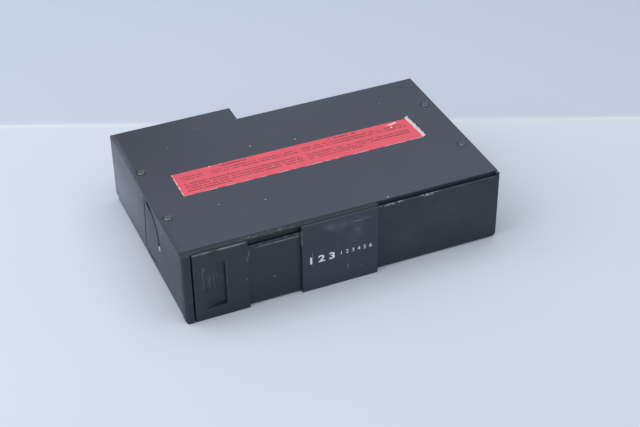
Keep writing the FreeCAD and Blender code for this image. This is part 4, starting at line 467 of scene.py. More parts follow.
# Each finish: its slot, what makes it, then its colour, its roughness and what else that maker takes.
# The brass has no slot here, because it only goes on CAD nodes, which bring their own.
FINISHES = {
    "cover_paint": ("cover_steel", cover_paint),
    "front_plastic": ("case_plastic", front_plastic),
    "leaf_plastic": ("case_plastic", leaf_plastic),
    "label_film": ("label_film", label_film),
    "label_back": ("label_film", soft_finish, (0.72, 0.68, 0.70), 0.6),
    "numeral_print": ("label_film", soft_finish, (0.90, 0.91, 0.93), 0.5),
    "screw_steel": ("screw_steel", bright_metal, (0.27, 0.28, 0.30), 0.4, 700, (1, 1, 1)),
    "plated_sheet": ("zinc_steel", plated_sheet, (0.55, 0.56, 0.57)),
    "lever_plastic": ("lever_plastic", grained_plastic, (0.50, 0.52, 0.53), 0.42),
    "spring_wire": ("spring_steel", bright_metal, (0.52, 0.53, 0.55), 0.24),
    "damper_rubber": ("damper_rubber", grained_plastic, (0.018, 0.018, 0.02), 0.7, 700, 0.06, 0.3),
    "ground_rod": ("bright_rod", bright_metal, (0.68, 0.69, 0.71), 0.14, 1400),
    "motor_can": ("motor_steel", bright_metal, (0.50, 0.51, 0.52), 0.3, 500, (1, 1, 0.1)),
    "pinion_brass": (None, bright_metal, (0.62, 0.44, 0.17), 0.26),
    "acetal": ("gear_plastic", soft_finish, (0.72, 0.70, 0.62), 0.38),
    "frame_plastic": ("frame_plastic", grained_plastic, (0.022, 0.023, 0.026), 0.48),
    "magazine_plastic": ("magazine_plastic", grained_plastic, (0.028, 0.030, 0.036), 0.4, 1100, 0.04),
    "tray_plastic": ("tray_plastic", grained_plastic, (0.060, 0.064, 0.072), 0.44, 1000, 0.03),
    "disc_face": ("disc_plastic", disc_face),
    "main_mask": ("board_green", board_mask, 26),
    "power_mask": ("board_green", board_mask, 22, (math.pi / 2, 0, 0)),
    "chip_epoxy": ("chip_black", grained_plastic, (0.016, 0.016, 0.018), 0.5, 1800, 0.02),
    "tinned_pin": ("bright_rod", bright_metal, (0.66, 0.66, 0.64), 0.3),
    "ribbon_jacket": ("ribbon_grey", ribbon_jacket),
    "can_aluminium": ("can_aluminium", bright_metal, (0.62, 0.63, 0.65), 0.3, 700, (1, 0.05, 1)),
    "can_sleeve": ("can_aluminium", soft_finish, (0.03, 0.05, 0.16), 0.3),
    "socket_plastic": ("socket_plastic", grained_plastic, (0.02, 0.02, 0.022), 0.42),
    "lens_glass": ("lens_glass", coated_glass, (0.10, 0.16, 0.42), 0.06),
    "mat_rubber": ("damper_rubber", grained_plastic, (0.03, 0.03, 0.032), 0.75, 1500, 0.04),
    "felt_ring": ("damper_rubber", grained_plastic, (0.10, 0.10, 0.11), 0.95, 2400, 0.10, 0.3),
}
MADE = {}


def finish(name):
    """The material of that name, made when it is first asked for."""
    if name not in MADE:
        _, maker, *values = FINISHES[name]
        MADE[name] = maker(name, *values).mat
    return MADE[name]


# ---------------------------------------------------------------- shapes

def merged_copy(node):
    """A CAD node's shape as a bmesh: loose triangles joined, flat faces whole, curved ones smooth."""
    bm = bmesh.new()
    bm.from_mesh(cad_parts[node].data)
    bmesh.ops.remove_doubles(bm, verts=bm.verts, dist=2e-6)
    bmesh.ops.dissolve_limit(bm, angle_limit=FLAT, verts=bm.verts, edges=bm.edges)
    for face in bm.faces:
        angles = [e.calc_face_angle(0.0) for e in face.edges if len(e.link_faces) == 2]
        curved = any(FLAT < angle < CURVED for angle in angles)
        face.smooth = curved and 2 * face.calc_area() / face.calc_perimeter() < STRIP * MM
    return bm


def near(vert, x=None, y=None, z=None, slack=0.03):
    """True where a vertex lies on the stated planes, in case millimetres."""
    place = vert.co / MM + Vector((CASE.x / 2, CASE.y / 2, 0))
    return all(want is None or abs(got - want) < slack for got, want in zip(place, (x, y, z)))


def round_edges(bm, radius, wanted=lambda edge: True, segments=2, sharp=28.0):
    """Rounds the sharp edges that wanted() picks; radius in millimetres."""
    limit = math.radians(sharp)
    edges = [e for e in bm.edges if len(e.link_faces) == 2 and e.calc_face_angle(0.0) > limit and wanted(e)]
    if edges:
        made = bmesh.ops.bevel(bm, geom=edges, offset=radius * MM, offset_type="OFFSET", segments=segments,
                               profile=0.5, affect="EDGES", clamp_overlap=True, material=-1)
        for face in made["faces"]:
            face.smooth = True
    return bm


def upright_to(axis):
    """The turn that brings Z to an axis."""
    return Vector(Z).rotation_difference(Vector(axis)).to_matrix()


def lathe(profile, base, axis, steps=64, bm=None):
    """Spins a closed profile of (radius, height) in millimetres round an axis through base."""
    bm = bm or bmesh.new()
    turn = upright_to(axis)
    verts = [bm.verts.new(base + turn @ Vector((r * MM, 0, h * MM))) for r, h in profile]
    edges = [bm.edges.new((a, b)) for a, b in zip(verts, verts[1:] + verts[:1])]
    bmesh.ops.spin(bm, geom=verts + edges, cent=base, axis=axis, angle=math.tau, steps=steps, use_merge=True)
    bmesh.ops.remove_doubles(bm, verts=bm.verts, dist=1e-7)
    return bm


def coil(base, axis, length, radius, wire, turns, bm=None, steps=14):
    """A wire of radius wire, six-sided, wound round an axis; lengths in millimetres."""
    bm = bm or bmesh.new()
    axis, turn = Vector(axis), upright_to(axis)
    verts = []
    for a in (math.tau * i / 6 for i in range(6)):
        across = Vector(((radius + wire * math.cos(a)) * MM, 0, wire * math.sin(a) * MM))
        verts.append(bm.verts.new(base + turn @ across))
    edges = [bm.edges.new((a, b)) for a, b in zip(verts, verts[1:] + verts[:1])]
    count = int(turns * steps)
    bm.faces.new(verts)
    made = bmesh.ops.spin(bm, geom=verts + edges, cent=base, axis=axis, dvec=axis * (length * MM / count),
                          angle=math.tau * turns, steps=count)
    last = [v for v in made["geom_last"] if isinstance(v, bmesh.types.BMVert)]
    bmesh.ops.contextual_create(bm, geom=last)
    return bm


def cylinder(bm, base, axis, length, radius, sides, bevel=0.0):
    """Adds a round bar from base along axis, in millimetres, with its rims rounded by bevel."""
    place = Matrix.Translation(base + Vector(axis) * length * MM / 2) @ upright_to(axis).to_4x4()
    made = bmesh.ops.create_cone(bm, cap_ends=True, segments=sides, radius1=radius * MM, radius2=radius * MM,
                                 depth=length * MM, matrix=place)
    if bevel:
        rims = {e for v in made["verts"] for e in v.link_edges if any(len(f.verts) > 4 for f in e.link_faces)}
        bmesh.ops.bevel(bm, geom=list(rims), offset=bevel * MM, segments=2, profile=0.5, affect="EDGES",
                        material=-1)


def cuboid(low, high):
    """A box between two corners given in case millimetres."""
    bm = bmesh.new()
    low, high = at(*low), at(*high)
    place = Matrix.Translation((low + high) / 2) @ Matrix.Diagonal((*(high - low), 1.0))
    bmesh.ops.create_cube(bm, size=1.0, matrix=place)
    return bm


def piece(name, bm, body, material, stands_for=(), new=False, reach=None, slot=None):
    """Turns a bmesh into a piece that rides on a body; a new shape is smooth but for its sharp edges.

    reach is given for a spring between two bodies, as the other body and where the piece leaves the first
    body and meets the other, but only its presence is read: such a piece is baked where it stands and rides
    on no body. slot is not used.
    """
    slot = slot or FINISHES[material][0]
    if new:
        bmesh.ops.recalc_face_normals(bm, faces=bm.faces)
        for face in bm.faces:
            face.smooth = True
    bm.faces.index_update()
    flat = [face.index for face in bm.faces if not face.smooth]
    mesh = bpy.data.meshes.new(name)
    bm.to_mesh(mesh)
    bm.free()
    mesh.set_sharp_from_angle(angle=SHARP)
    for index in flat:          # set_sharp_from_angle() makes every face smooth
        mesh.polygons[index].use_smooth = False
    made = bpy.data.objects.new(name, mesh)
    bpy.context.scene.collection.objects.link(made)
    made.data.materials.append(finish(material))
    if reach:
        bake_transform(made)
    else:
        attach(made, body)
    if stands_for:
        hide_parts(*stands_for)
    return made


def dressed(node, body, material, radius, segments=2, slot=None):
    """A CAD node with its sharp edges rounded, which stands for it."""
    bm = round_edges(merged_copy(node), radius, segments=segments)
    return piece(f"{node}_shape", bm, body, material, (node,), slot=slot)


def finish_node(node, material):
    """Gives a CAD node, whose shape stays, its finish."""
    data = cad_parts[node].data
    data.materials.clear()
    data.materials.append(finish(material))


# ---------------------------------------------------------------- settings

def colour_setting(name, description, *srgb):
    return FloatVectorProperty(name=name, description=description, subtype="COLOR", size=3, min=0, max=1,
                               default=from_srgb(*srgb))


def factor_setting(name, description, default):
    return FloatProperty(name=name, description=description, subtype="FACTOR", min=0, max=1, default=default)


def angle_setting(name, description, degrees):
    return FloatProperty(name=name, description=description, subtype="ANGLE", default=math.radians(degrees))


class CaseSettings(bpy.types.PropertyGroup):
    """Colours and edges of the outside."""
    cover_colour: colour_setting("Cover colour", "Paint on the steel cover", 60, 67, 81)
    cover_roughness: factor_setting("Cover roughness", "Gloss of the paint, 0 is a mirror", 0.47)
    plastic_colour: colour_setting("Plastic colour", "Plastic of the bezel and door", 33, 41, 53)
    plastic_roughness: factor_setting("Plastic roughness", "Gloss of the bezel and door", 0.5)
    bend: FloatProperty(name="Bend radius", description="Outer radius of the cover's bends", unit="LENGTH",
                        min=0.0002, max=0.002, default=0.0009)


class LabelSettings(bpy.types.PropertyGroup):
    """The film on the cover and the figures on the door."""
    colour: colour_setting("Film colour", "Ground colour of the label", 215, 84, 100)
    row_pitch: FloatProperty(name="Row pitch", description="Distance between printed rows, in millimetres",
                             min=2.0, max=6.0, default=3.1)
    large_figures: StringProperty(name="Large figures", description="Bold figures on the outer leaf",
                                  default="1 2 3")
    small_figures: StringProperty(name="Small figures", description="Thin figures beside them",
                                  default="1 2 3 4 5 6")


class StageSettings(bpy.types.PropertyGroup):
    """Floor, lamps and camera."""
    floor_colour: colour_setting("Floor colour", "Colour of the floor", 208, 216, 229)
    lens: FloatProperty(name="Lens", description="Focal length of the camera, in millimetres", min=20,
                        max=200, default=80.33)
    azimuth: angle_setting("Camera azimuth", "Turn of the camera round the changer", -22.81)
    elevation: angle_setting("Camera elevation", "Height of the camera above the horizon", 35.83)
    roll: angle_setting("Camera roll", "Tilt of the picture", -0.80)
    distance: FloatProperty(name="Camera distance", description="From the camera to its target",
                            unit="LENGTH", default=1.08933)


# ---------------------------------------------------------------- case

class ChangerOperator:
    """What the operators share."""
    bl_options = {"REGISTER", "UNDO"}

    @classmethod
    def poll(cls, context):
        return context.mode == "OBJECT"


class CHANGER_OT_cover(ChangerOperator, bpy.types.Operator):
    """Bends the painted steel cover"""
    bl_idname = "changer.cover"
    bl_label = "Steel cover"

    def execute(self, context):
        bend = context.scene.changer_case.bend / MM
        bm = merged_copy("top_cover")
        outside = [{"x": 0}, {"x": CASE.x}, {"y": CASE.y}, {"y": STEP[1]}, {"x": STEP[0]}]

        def top_bend(edge):
            on_top = all(near(v, z=CASE.z) for v in edge.verts)
            return on_top and any(all(near(v, **plane) for v in edge.verts) for plane in outside)

        def upright(edge):
            ends = [(CASE.x, STEP[1]), (STEP[0], CASE.y), STEP]
            return any(all(near(v, x=x, y=y) for v in edge.verts) for x, y in ends)

        round_edges(bm, bend, lambda e: top_bend(e) or upright(e), 4, 20)
        round_edges(bm, 0.3, lambda e: all(near(v, z=CASE.z, slack=0.05) for v in e.verts), 3, 20)
        round_edges(bm, 0.18)
        piece("cover", bm, "case", "cover_paint", ("top_cover",))
        return {"FINISHED"}


class CHANGER_OT_cover_screws(ChangerOperator, bpy.types.Operator):
    """Sets a cross-head screw in each dimple of the cover"""
    bl_idname = "changer.cover_screws"
    bl_label = "Cover screws"

    def execute(self, context):
        bm = merged_copy("cover_screws")
        round_edges(bm, 0.12)
        piece("cover_screw_heads", bm, "case", "screw_steel", ("cover_screws",))
        return {"FINISHED"}


class CHANGER_OT_label(ChangerOperator, bpy.types.Operator):
    """Lays the printed film on the cover, with one end peeled up"""
    bl_idname = "changer.label"
    bl_label = "Label"

    def execute(self, context):
        bm = cuboid(LABEL_LOW, LABEL_HIGH)
        long_edges = [e for e in bm.edges if abs((e.verts[0].co - e.verts[1].co).x) > 10 * MM]
        bmesh.ops.subdivide_edges(bm, edges=long_edges, cuts=60, use_grid_fill=True)
        chance = random.Random(4)
        for v in bm.verts:
            if near(v, x=LABEL_HIGH[0]):
                v.co.x += chance.uniform(-0.8, 0.6) * MM
            v.co.y += chance.uniform(-0.04, 0.04) * MM
        piece("label", bm, "case", "label_film", ("top_label",), new=True)
        self.curl()
        return {"FINISHED"}

    def curl(self):
        """The peeled end: a narrow strip of the film's pale back, rolled over on itself."""
        chance = random.Random(9)
        bm = bmesh.new()
        root, front, width, rows = (223.6, 60.13), 72.2, 31.0, 16
        arc = [(0.0, 0.02), (1.0, 0.08), (2.0, 0.35), (2.7, 0.85), (2.5, 1.35), (1.7, 1.45)]
        rings = []
        for i in range(rows + 1):
            y = front + i * width / rows
            shift = 1.1 + chance.uniform(-0.22, 0.18) - 1.5 * (i / rows)
            lift = 0.5 + 0.4 * math.sin(i * 0.9) ** 2
            rings.append([bm.verts.new(at(root[0] + shift + 0.9 * u, y + 0.25 * chance.random(),
                                          root[1] + lift * w)) for u, w in arc])
        for low, high in zip(rings, rings[1:]):
            for j in range(len(arc) - 1):
                bm.faces.new((low[j], low[j + 1], high[j + 1], high[j]))
        bmesh.ops.recalc_face_normals(bm, faces=bm.faces)
        bmesh.ops.solidify(bm, geom=bm.faces[:], thickness=0.10 * MM)
        piece("label_curl", bm, "case", "label_back", new=True)


class CHANGER_OT_bezel(ChangerOperator, bpy.types.Operator):
    """Moulds the front bezel with its post, rails and fixed panel"""
    bl_idname = "changer.bezel"
    bl_label = "Front bezel"

    def execute(self, context):
        bm = merged_copy("front_bezel")
        panel = at(PANEL_LEFT, 0, 0).x

        def panel_rim(edge):
            return edge.verts[0].co.x > panel and all(near(v, y=PANEL_FACE) for v in edge.verts)

        round_edges(bm, 0.7, panel_rim, 4)
        round_edges(bm, 0.22)
        piece("bezel", bm, "case", "front_plastic", ("front_bezel",))
        dressed("bezel_screws", "case", "screw_steel", 0.1)
        return {"FINISHED"}


class CHANGER_OT_door(ChangerOperator, bpy.types.Operator):
    """Moulds the two leaves of the sliding door"""
    bl_idname = "changer.door"
    bl_label = "Door leaves"

    def execute(self, context):
        for node, body in (("door_outer", "outer_leaf"), ("door_inner", "inner_leaf")):
            bm = merged_copy(node)

            def rim(edge):
                flat = all(near(v, y=0) for v in edge.verts)
                return flat and all(near(v, z=CASE.z) or near(v, z=0) for v in edge.verts)

            round_edges(bm, 0.55, rim, 4)
            round_edges(bm, 0.16)
            piece(f"{node}_leaf", bm, body, "leaf_plastic", (node,))
        return {"FINISHED"}


class CHANGER_OT_numerals(ChangerOperator, bpy.types.Operator):
    """Prints plain figures on the outer leaf"""
    bl_idname = "changer.numerals"
    bl_label = "Figures"

    def execute(self, context):
        look = context.scene.changer_label
        self.figures("figures_large", look.large_figures, (97.2, 117.0), (24.5, 30.7), 0.03, 1.0)
        self.figures("figures_small", look.small_figures, (122.0, 147.0), (26.2, 29.5), 0.0, 1.5)
        return {"FINISHED"}

    def figures(self, name, words, across, up, weight, spaces):
        """Figures that fill a rectangle on the face of the leaf, half sunk in it."""
        text = bpy.data.curves.new(name, "FONT")
        text.body, text.size, text.offset, text.space_word = words, 1.0, weight, spaces
        holder = bpy.data.objects.new(name, text)
        bpy.context.scene.collection.objects.link(holder)
        bpy.context.view_layer.update()
        mesh = bpy.data.meshes.new_from_object(holder.evaluated_get(bpy.context.evaluated_depsgraph_get()))
        bpy.data.objects.remove(holder)
        bm = bmesh.new()
        bm.from_mesh(mesh)
        bmesh.ops.remove_doubles(bm, verts=bm.verts, dist=1e-6)
        xs, ys = [v.co.x for v in bm.verts], [v.co.y for v in bm.verts]
        sx, sz = (across[1] - across[0]) / (max(xs) - min(xs)), (up[1] - up[0]) / (max(ys) - min(ys))
        for v in bm.verts:
            v.co = at(across[0] + (v.co.x - min(xs)) * sx, -0.03, up[0] + (v.co.y - min(ys)) * sz)
        if next(iter(bm.faces)).normal.y > 0:
            bmesh.ops.reverse_faces(bm, faces=bm.faces)
        solid = bmesh.ops.extrude_face_region(bm, geom=bm.faces[:])
        moved = [g for g in solid["geom"] if isinstance(g, bmesh.types.BMVert)]
        bmesh.ops.translate(bm, verts=moved, vec=(0, 0.04 * MM, 0))
        piece(name, bm, "outer_leaf", "numeral_print", new=True)


class CHANGER_OT_eject(ChangerOperator, bpy.types.Operator):
    """Makes the eject button with its spring"""
    bl_idname = "changer.eject"
    bl_label = "Eject button"

    def execute(self, context):
        dressed("eject_button", "button", "front_plastic", 0.2)
        low, high = [Vector(corner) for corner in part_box("eject_spring")]
        base = Vector(((low.x + high.x) / 2, low.y, (low.z + high.z) / 2))
        length, inset = (high.y - low.y) / MM, 0.25
        bm = coil(base + Vector((0, inset * MM, 0)), Y, length - 2 * inset, 1.3, 0.2, 6)
        reach = ("case", base, base + Vector((0, 0.8 * length * MM, 0)))
        piece("eject_spring_coil", bm, "button", "spring_wire", ("eject_spring",), new=True,
              reach=reach)
        return {"FINISHED"}


class CHANGER_OT_chassis(ChangerOperator, bpy.types.Operator):
    """Folds the chassis and the rear panel, and presses in the bracket nuts"""
    bl_idname = "changer.chassis"
    bl_label = "Chassis"

    def execute(self, context):
        dressed("bottom_chassis", "case", "cover_paint", 0.2)
        dressed("rear_panel", "case", "cover_paint", 0.2)
        dressed("bracket_nuts", "case", "screw_steel", 0.25)
        return {"FINISHED"}


class CHANGER_OT_sockets(ChangerOperator, bpy.types.Operator):
    """Fits the power and control sockets with bright pins"""
    bl_idname = "changer.sockets"
    bl_label = "Sockets"

    def execute(self, context):
        dressed("power_socket", "case", "socket_plastic", 0.2)
        dressed("bus_socket", "case", "socket_plastic", 0.2)
        bm = bmesh.new()
        power_z, bus_z, circle, length = 16.8, 42.0, 3.2, 5.2
        for step in (-3, 0, 3):
            cylinder(bm, at(PIN_X, PIN_Y + step, power_z), X, length, 0.84, 20, 0.2)
        for i in range(8):
            a = math.radians(120 + i * 300 / 7)
            place = at(PIN_X, PIN_Y + circle * math.sin(a), bus_z + circle * math.cos(a))
            cylinder(bm, place, X, length, 0.5, 14, 0.12)
        piece("socket_pins", bm, "case", "tinned_pin", new=True)
        return {"FINISHED"}


class CHANGER_OT_suspension(ChangerOperator, bpy.types.Operator):
    """Hangs the angle levers, their springs and the dampers"""
    bl_idname = "changer.suspension"
    bl_label = "Suspension"

    def execute(self, context):
        dressed("angle_lever_left", "left_lever", "lever_plastic", 0.3)
        dressed("angle_lever_right", "right_lever", "lever_plastic", 0.3)
        bm, wire = bmesh.new(), 0.22
        for x in (SPRING_FROM_SIDE, CASE.x - SPRING_FROM_SIDE):
            for y in SPRING_YS:
                coil(at(x, y, SPRING_LOW), Z, SPRING_LENGTH, SPRING_R, wire, 22, bm)
                for z, turn in ((HOOK_LOW, 1), (HOOK_HIGH, -1)):
                    centre = at(x, y, z)
                    rim = Matrix.Translation(centre + Vector((0, SPRING_R * MM, 0)))
                    ring = bmesh.ops.create_circle(bm, segments=8, radius=wire * MM, matrix=rim)["verts"]
                    loop = ring + list({e for v in ring for e in v.link_edges})
                    bmesh.ops.spin(bm, geom=loop, cent=centre, axis=(turn, 0, 0), angle=math.tau, steps=24,
                                   use_merge=True)
        bmesh.ops.remove_doubles(bm, verts=bm.verts, dist=1e-7)
        piece("suspension_coils", bm, "case", "spring_wire", ("suspension_springs",), new=True,
              reach=("deck", at(0, 0, SPRING_LOW + SPRING_LENGTH), at(0, 0, SPRING_LOW)))
        dressed("dampers", "case", "damper_rubber", 0.4, 3)
        return {"FINISHED"}


# ---------------------------------------------------------------- mechanism

class CHANGER_OT_deck(ChangerOperator, bpy.types.Operator):
    """Stamps the floating deck and mounts what stands on it"""
    bl_idname = "changer.deck"
    bl_label = "Floating deck"

    def execute(self, context):
        dressed("mech_deck", "deck", "plated_sheet", 0.15)
        dressed("guide_posts", "deck", "ground_rod", 0.25)
        dressed("ejector_arm", "ejector", "acetal", 0.25)
        low, high = [Vector(corner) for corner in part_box("ejector_spring")]
        middle = (low + high) / 2
        radius, wire, inset = 2.9, 0.25, 0.3
        foot = Vector((middle.x, middle.y, low.z + inset * MM))
        bm = coil(foot, Z, (high.z - low.z) / MM - 2 * inset, radius, wire, 7, steps=24)
        leg = Vector((middle.x + radius * MM, middle.y, high.z - 0.5 * MM))
        cylinder(bm, leg, Y, 6.0, wire, 8)
        piece("ejector_coil", bm, "deck", "spring_wire", ("ejector_spring",), new=True)
        return {"FINISHED"}


class CHANGER_OT_drives(ChangerOperator, bpy.types.Operator):
    """Fits the motors, pinions, shaft, gears and lead screw"""
    bl_idname = "changer.drives"
    bl_label = "Motors and gears"

    def execute(self, context):
        for node in ("tray_motor", "lift_motor"):
            dressed(node, "deck", "motor_can", 0.45, 3)
        for node in ("tray_pinion", "lift_pinion"):
            finish_node(node, "pinion_brass")
        for node in ("drive_shaft", "tray_gear", "lift_screw"):
            finish_node(node, "acetal")
        low, high = [Vector(corner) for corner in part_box("lift_screw")]
        middle = (low + high) / 2
        foot = Vector((middle.x, middle.y, at(0, 0, 11.5).z))
        bm = coil(foot, Z, 44.5, 1.36, 0.16, 11, steps=20)
        piece("lift_thread", bm, "screw", "acetal", new=True)
        return {"FINISHED"}


class CHANGER_OT_lift(ChangerOperator, bpy.types.Operator):
    """Builds the lift frame and the player that it carries"""
    bl_idname = "changer.lift"
    bl_label = "Lift and player"

    def execute(self, context):
        dressed("elevator_frame", "lift", "frame_plastic", 0.18)
        dressed("traverse_plate", "lift", "plated_sheet", 0.12)
        dressed("guide_rods", "lift", "ground_rod", 0.2)
        dressed("spindle_motor", "lift", "motor_can", 0.3)
        dressed("feed_motor", "lift", "motor_can", 0.5, 3)
        dressed("turntable", "platter", "frame_plastic", 0.15)
        dressed("clamp_arm", "clamp", "plated_sheet", 0.12)
        dressed("clamp_puck", "puck", "frame_plastic", 0.2)
        dressed("pickup_sled", "pickup", "frame_plastic", 0.25, slot="sled_plastic")
        finish_node("feed_screw", "ground_rod")
        self.platter_mat()
        self.lens()
        return {"FINISHED"}

    def platter_mat(self):
        """Soft rings: the one that the disc rests on, sunk in the turntable's rim, and the puck's felt."""
        mat = [(8.2, -0.25), (11.4, -0.25), (11.4, 0.04), (8.2, 0.04)]
        bm = lathe(mat, at(*SPINDLE, TURNTABLE_TOP), Z, 72)
        piece("turntable_mat", bm, "platter", "mat_rubber", new=True)
        felt = [(7.7, -0.03), (9.6, -0.03), (9.6, 0.2), (7.7, 0.2)]
        bm = lathe(felt, at(*SPINDLE, PUCK_LOW), Z, 72)
        piece("puck_felt", bm, "puck", "felt_ring", new=True)

    def lens(self):
        """Lens in its holder, hung between two coils on the sled."""
        low, high = [Vector(corner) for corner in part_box("pickup_lens")]
        middle = (low + high) / 2
        base = Vector((middle.x, middle.y, low.z))
        holder = lathe([(2.1, 0.0), (3.2, 0.0), (3.2, 1.3), (2.6, 1.55), (2.1, 1.4)], base, Z, 40)
        piece("lens_holder", holder, "pickup", "frame_plastic", ("pickup_lens",), new=True,
              slot="sled_plastic")
        dome = [(0.02, 0.2), (2.05, 0.2), (2.05, 1.2), (1.6, 1.45), (1.1, 1.6), (0.6, 1.68), (0.02, 1.7)]
        piece("lens_dome", lathe(dome, base, Z, 40), "pickup", "lens_glass", new=True)


class CHANGER_OT_magazine(ChangerOperator, bpy.types.Operator):
    """Moulds the disc magazine"""
    bl_idname = "changer.magazine"
    bl_label = "Magazine"

    def execute(self, context):
        dressed("magazine_case", "magazine", "magazine_plastic", 0.25)
        return {"FINISHED"}


class CHANGER_OT_trays(ChangerOperator, bpy.types.Operator):
    """Moulds the six trays and lays a disc in each"""
    bl_idname = "changer.trays"
    bl_label = "Trays and discs"

    def execute(self, context):
        for number in DISCS:
            node = f"tray_{number}"
            bm = merged_copy(node)
            low = min(v.co.z for v in bm.verts)
            round_edges(bm, 0.2, lambda e: (e.verts[0].co - e.verts[1].co).length > 2.2 * MM)
            piece(f"{node}_shape", bm, f"drawer_{number}", "tray_plastic", (node,))
            self.disc(number, low / MM + TRAY_FLOOR)
        return {"FINISHED"}

    def disc(self, number, z):
        """Disc with a groove round its hub and a softened rim."""
        under = [(7.5, 0.1), (7.6, 0.0), (16.6, 0.0), (16.9, 0.0), (17.4, 0.0), (17.7, 0.0), (59.85, 0.0)]
        rim = [(60.0, 0.15), (60.0, 1.05)]
        top = [(59.85, 1.2), (20.2, 1.2), (19.9, 1.12), (19.5, 1.12), (19.2, 1.2), (7.6, 1.2), (7.5, 1.1)]
        bm = lathe(under + rim + top, at(*DISC_CENTRE, z), Z, 128)
        piece(f"disc_{number}_face", bm, f"drawer_{number}", "disc_face", (f"disc_{number}",),
              new=True)


class CHANGER_OT_boards(ChangerOperator, bpy.types.Operator):
    """Fits out the circuit boards"""
    bl_idname = "changer.boards"
    bl_label = "Circuit boards"

    def execute(self, context):
        dressed("main_board", "case", "main_mask", 0.1)
        dressed("power_board", "case", "power_mask", 0.1)
        dressed("board_components", "case", "chip_epoxy", 0.1)
        dressed("board_ribbon", "case", "ribbon_jacket", 0.1)
        dressed("heat_sink", "case", "can_aluminium", 0.15)
        self.cans()
        return {"FINISHED"}

    def cans(self):
        """Sleeved capacitors, each with a bright end."""
        sleeves, ends = bmesh.new(), bmesh.new()
        first, pitch, front, end, z = 17.0, 10.5, 158.9, 168.7, 40
        can = [(0.02, 0.0), (3.6, 0.0), (4.0, 0.4), (4.0, 1.6), (3.75, 1.9), (4.0, 2.2), (4.0, 9.9),
               (3.7, 10.3), (3.2, 10.3), (3.2, 9.9), (0.02, 9.9)]
        for i in range(4):
            x = first + i * pitch
            lathe(can, at(x, front, z), Y, 40, sleeves)
            cylinder(ends, at(x, end, z), Y, 0.5, 3.15, 40, 0.1)
        piece("capacitor_sleeves", sleeves, "case", "can_sleeve", ("filter_capacitors",), new=True)
        piece("capacitor_ends", ends, "case", "can_aluminium", new=True)


# ---------------------------------------------------------------- stage

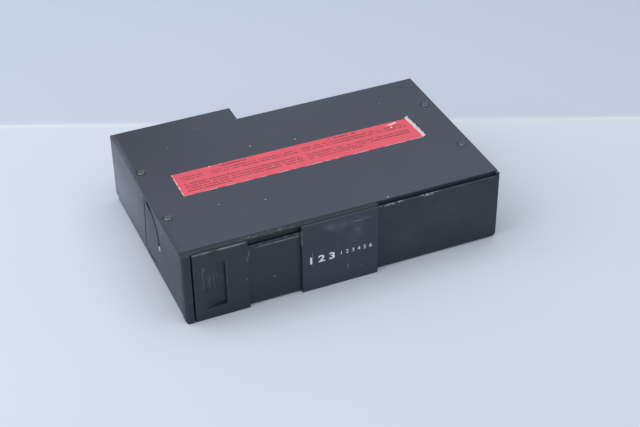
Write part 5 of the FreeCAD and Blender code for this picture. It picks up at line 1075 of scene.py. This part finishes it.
class CHANGER_OT_stage(ChangerOperator, bpy.types.Operator):
    """Lays the floor, hangs the lamps and places the camera"""
    bl_idname = "changer.stage"
    bl_label = "Stage"

    def execute(self, context):
        look = context.scene.changer_stage
        self.floor(look)
        self.lamps(context)
        self.camera(context, look)
        context.scene.view_settings.view_transform = "Standard"
        return {"FINISHED"}

    def floor(self, look):
        """A pale floor, darker beyond a faint crease behind the changer: painted shade there and further
        back, and a painted highlight along the crease.
        """
        bm = bmesh.new()
        bmesh.ops.create_grid(bm, x_segments=8, y_segments=8, size=6.0)
        mesh = bpy.data.meshes.new("floor")
        bm.to_mesh(mesh)
        bm.free()
        floor = bpy.data.objects.new("floor", mesh)
        bpy.context.scene.collection.objects.link(floor)
        f = Finish("floor_paper", tuple(look.floor_colour), 0.9)
        turned = f.moved((0, 0, 0), (0, 0, look.azimuth), kind="TEXTURE")
        away = f.node("ShaderNodeSeparateXYZ", None, i0=turned).outputs[1]
        f.tone(f.between(f.noise(1.3, 3), 0.35, 0.7), 0.94)
        # painted shade: the floor is drawn darker beyond the crease
        f.over(f.between(away, 0.139, 0.150), from_srgb(193, 202, 219))
        # painted highlight along the crease
        crease = f.times(f.between(f.math("ABSOLUTE", f.math("SUBTRACT", away, 0.142)), 0.004, 0.0),
                         f.between(f.noise(2.2, 2), 0.35, 0.7, 0.25, 0.9))
        f.over(crease, (0.86, 0.89, 0.95), 0.85)
        # painted shade, deeper further back
        f.over(f.between(away, 0.15, 1.0), from_srgb(176, 190, 214), 0.35)
        mesh.materials.append(f.mat)

    def lamps(self, context):
        """A wide soft key low at the left, a lamp overhead, a weak fill and a pale world."""
        for name, place, size, power, colour in (
                ("key", (-1.25, 0.25, 1.25), 1.9, 19.0, (1.0, 0.995, 0.985)),
                ("top", (0.3, 0.0, 1.8), 1.9, 14.0, (0.99, 0.995, 1.0)),
                ("fill", (0.5, -1.4, 1.3), 2.0, 5.0, (0.99, 0.995, 1.0))):
            lamp = bpy.data.lights.new(name, "AREA")
            lamp.energy, lamp.size, lamp.color = power, size, colour
            holder = bpy.data.objects.new(name, lamp)
            holder.location = place
            holder.rotation_euler = (-Vector(place)).to_track_quat("-Z", "Y").to_euler()
            context.scene.collection.objects.link(holder)
        world = context.scene.world or bpy.data.worlds.new("studio")
        context.scene.world = world
        world.use_nodes = True
        ground = world.node_tree.nodes["Background"]
        ground.inputs["Color"].default_value = (0.95, 0.97, 1.0, 1.0)
        ground.inputs["Strength"].default_value = 0.42

    def camera(self, context, look):
        """The camera looks down at the front left corner through a long lens."""
        az, el, roll = look.azimuth, look.elevation, look.roll
        back = Vector((math.sin(az) * math.cos(el), -math.cos(az) * math.cos(el), math.sin(el)))
        right = Vector((math.cos(az), math.sin(az), 0))
        up = back.cross(right)
        right, up = right * math.cos(roll) + up * math.sin(roll), up * math.cos(roll) - right * math.sin(roll)
        data = bpy.data.cameras.new("camera")
        data.lens, data.sensor_width = look.lens, 36.0
        data.clip_start, data.clip_end = 0.01, 50.0
        camera = bpy.data.objects.new("camera", data)
        turn = Matrix((right, up, back)).transposed().to_4x4()
        target = at(126.16, 48.97, 30.0)
        camera.matrix_world = Matrix.Translation(target + back * look.distance) @ turn
        context.scene.collection.objects.link(camera)
        context.scene.camera = camera


# ---------------------------------------------------------------- panel

OPERATORS = (CHANGER_OT_cover, CHANGER_OT_cover_screws, CHANGER_OT_label, CHANGER_OT_bezel,
             CHANGER_OT_door, CHANGER_OT_numerals, CHANGER_OT_eject, CHANGER_OT_chassis, CHANGER_OT_sockets,
             CHANGER_OT_suspension, CHANGER_OT_deck, CHANGER_OT_drives, CHANGER_OT_lift,
             CHANGER_OT_magazine, CHANGER_OT_trays, CHANGER_OT_boards, CHANGER_OT_stage)


class CHANGER_PT_panel(bpy.types.Panel):
    """Lists the changer's pieces and settings"""
    bl_idname = "CHANGER_PT_panel"
    bl_label = "Car CD changer"
    bl_space_type = "VIEW_3D"
    bl_region_type = "UI"
    bl_category = "Changer"

    def draw(self, context):
        layout = self.layout
        for group in (context.scene.changer_case, context.scene.changer_label, context.scene.changer_stage):
            box = layout.box()
            for name in group.__annotations__:
                box.prop(group, name)
        for operator in OPERATORS:
            layout.operator(operator.bl_idname)


GROUPS = {"changer_case": CaseSettings, "changer_label": LabelSettings, "changer_stage": StageSettings}
CLASSES = (*GROUPS.values(), *OPERATORS, CHANGER_PT_panel)


def register():
    for cls in CLASSES:
        bpy.utils.register_class(cls)
    for name, group in GROUPS.items():
        setattr(bpy.types.Scene, name, PointerProperty(type=group))


def unregister():
    for name in GROUPS:
        delattr(bpy.types.Scene, name)
    for cls in reversed(CLASSES):
        bpy.utils.unregister_class(cls)


def main():
    register()
    for operator in OPERATORS:
        group, name = operator.bl_idname.split(".")
        getattr(getattr(bpy.ops, group), name)()


if __name__ == "__main__":
    main()
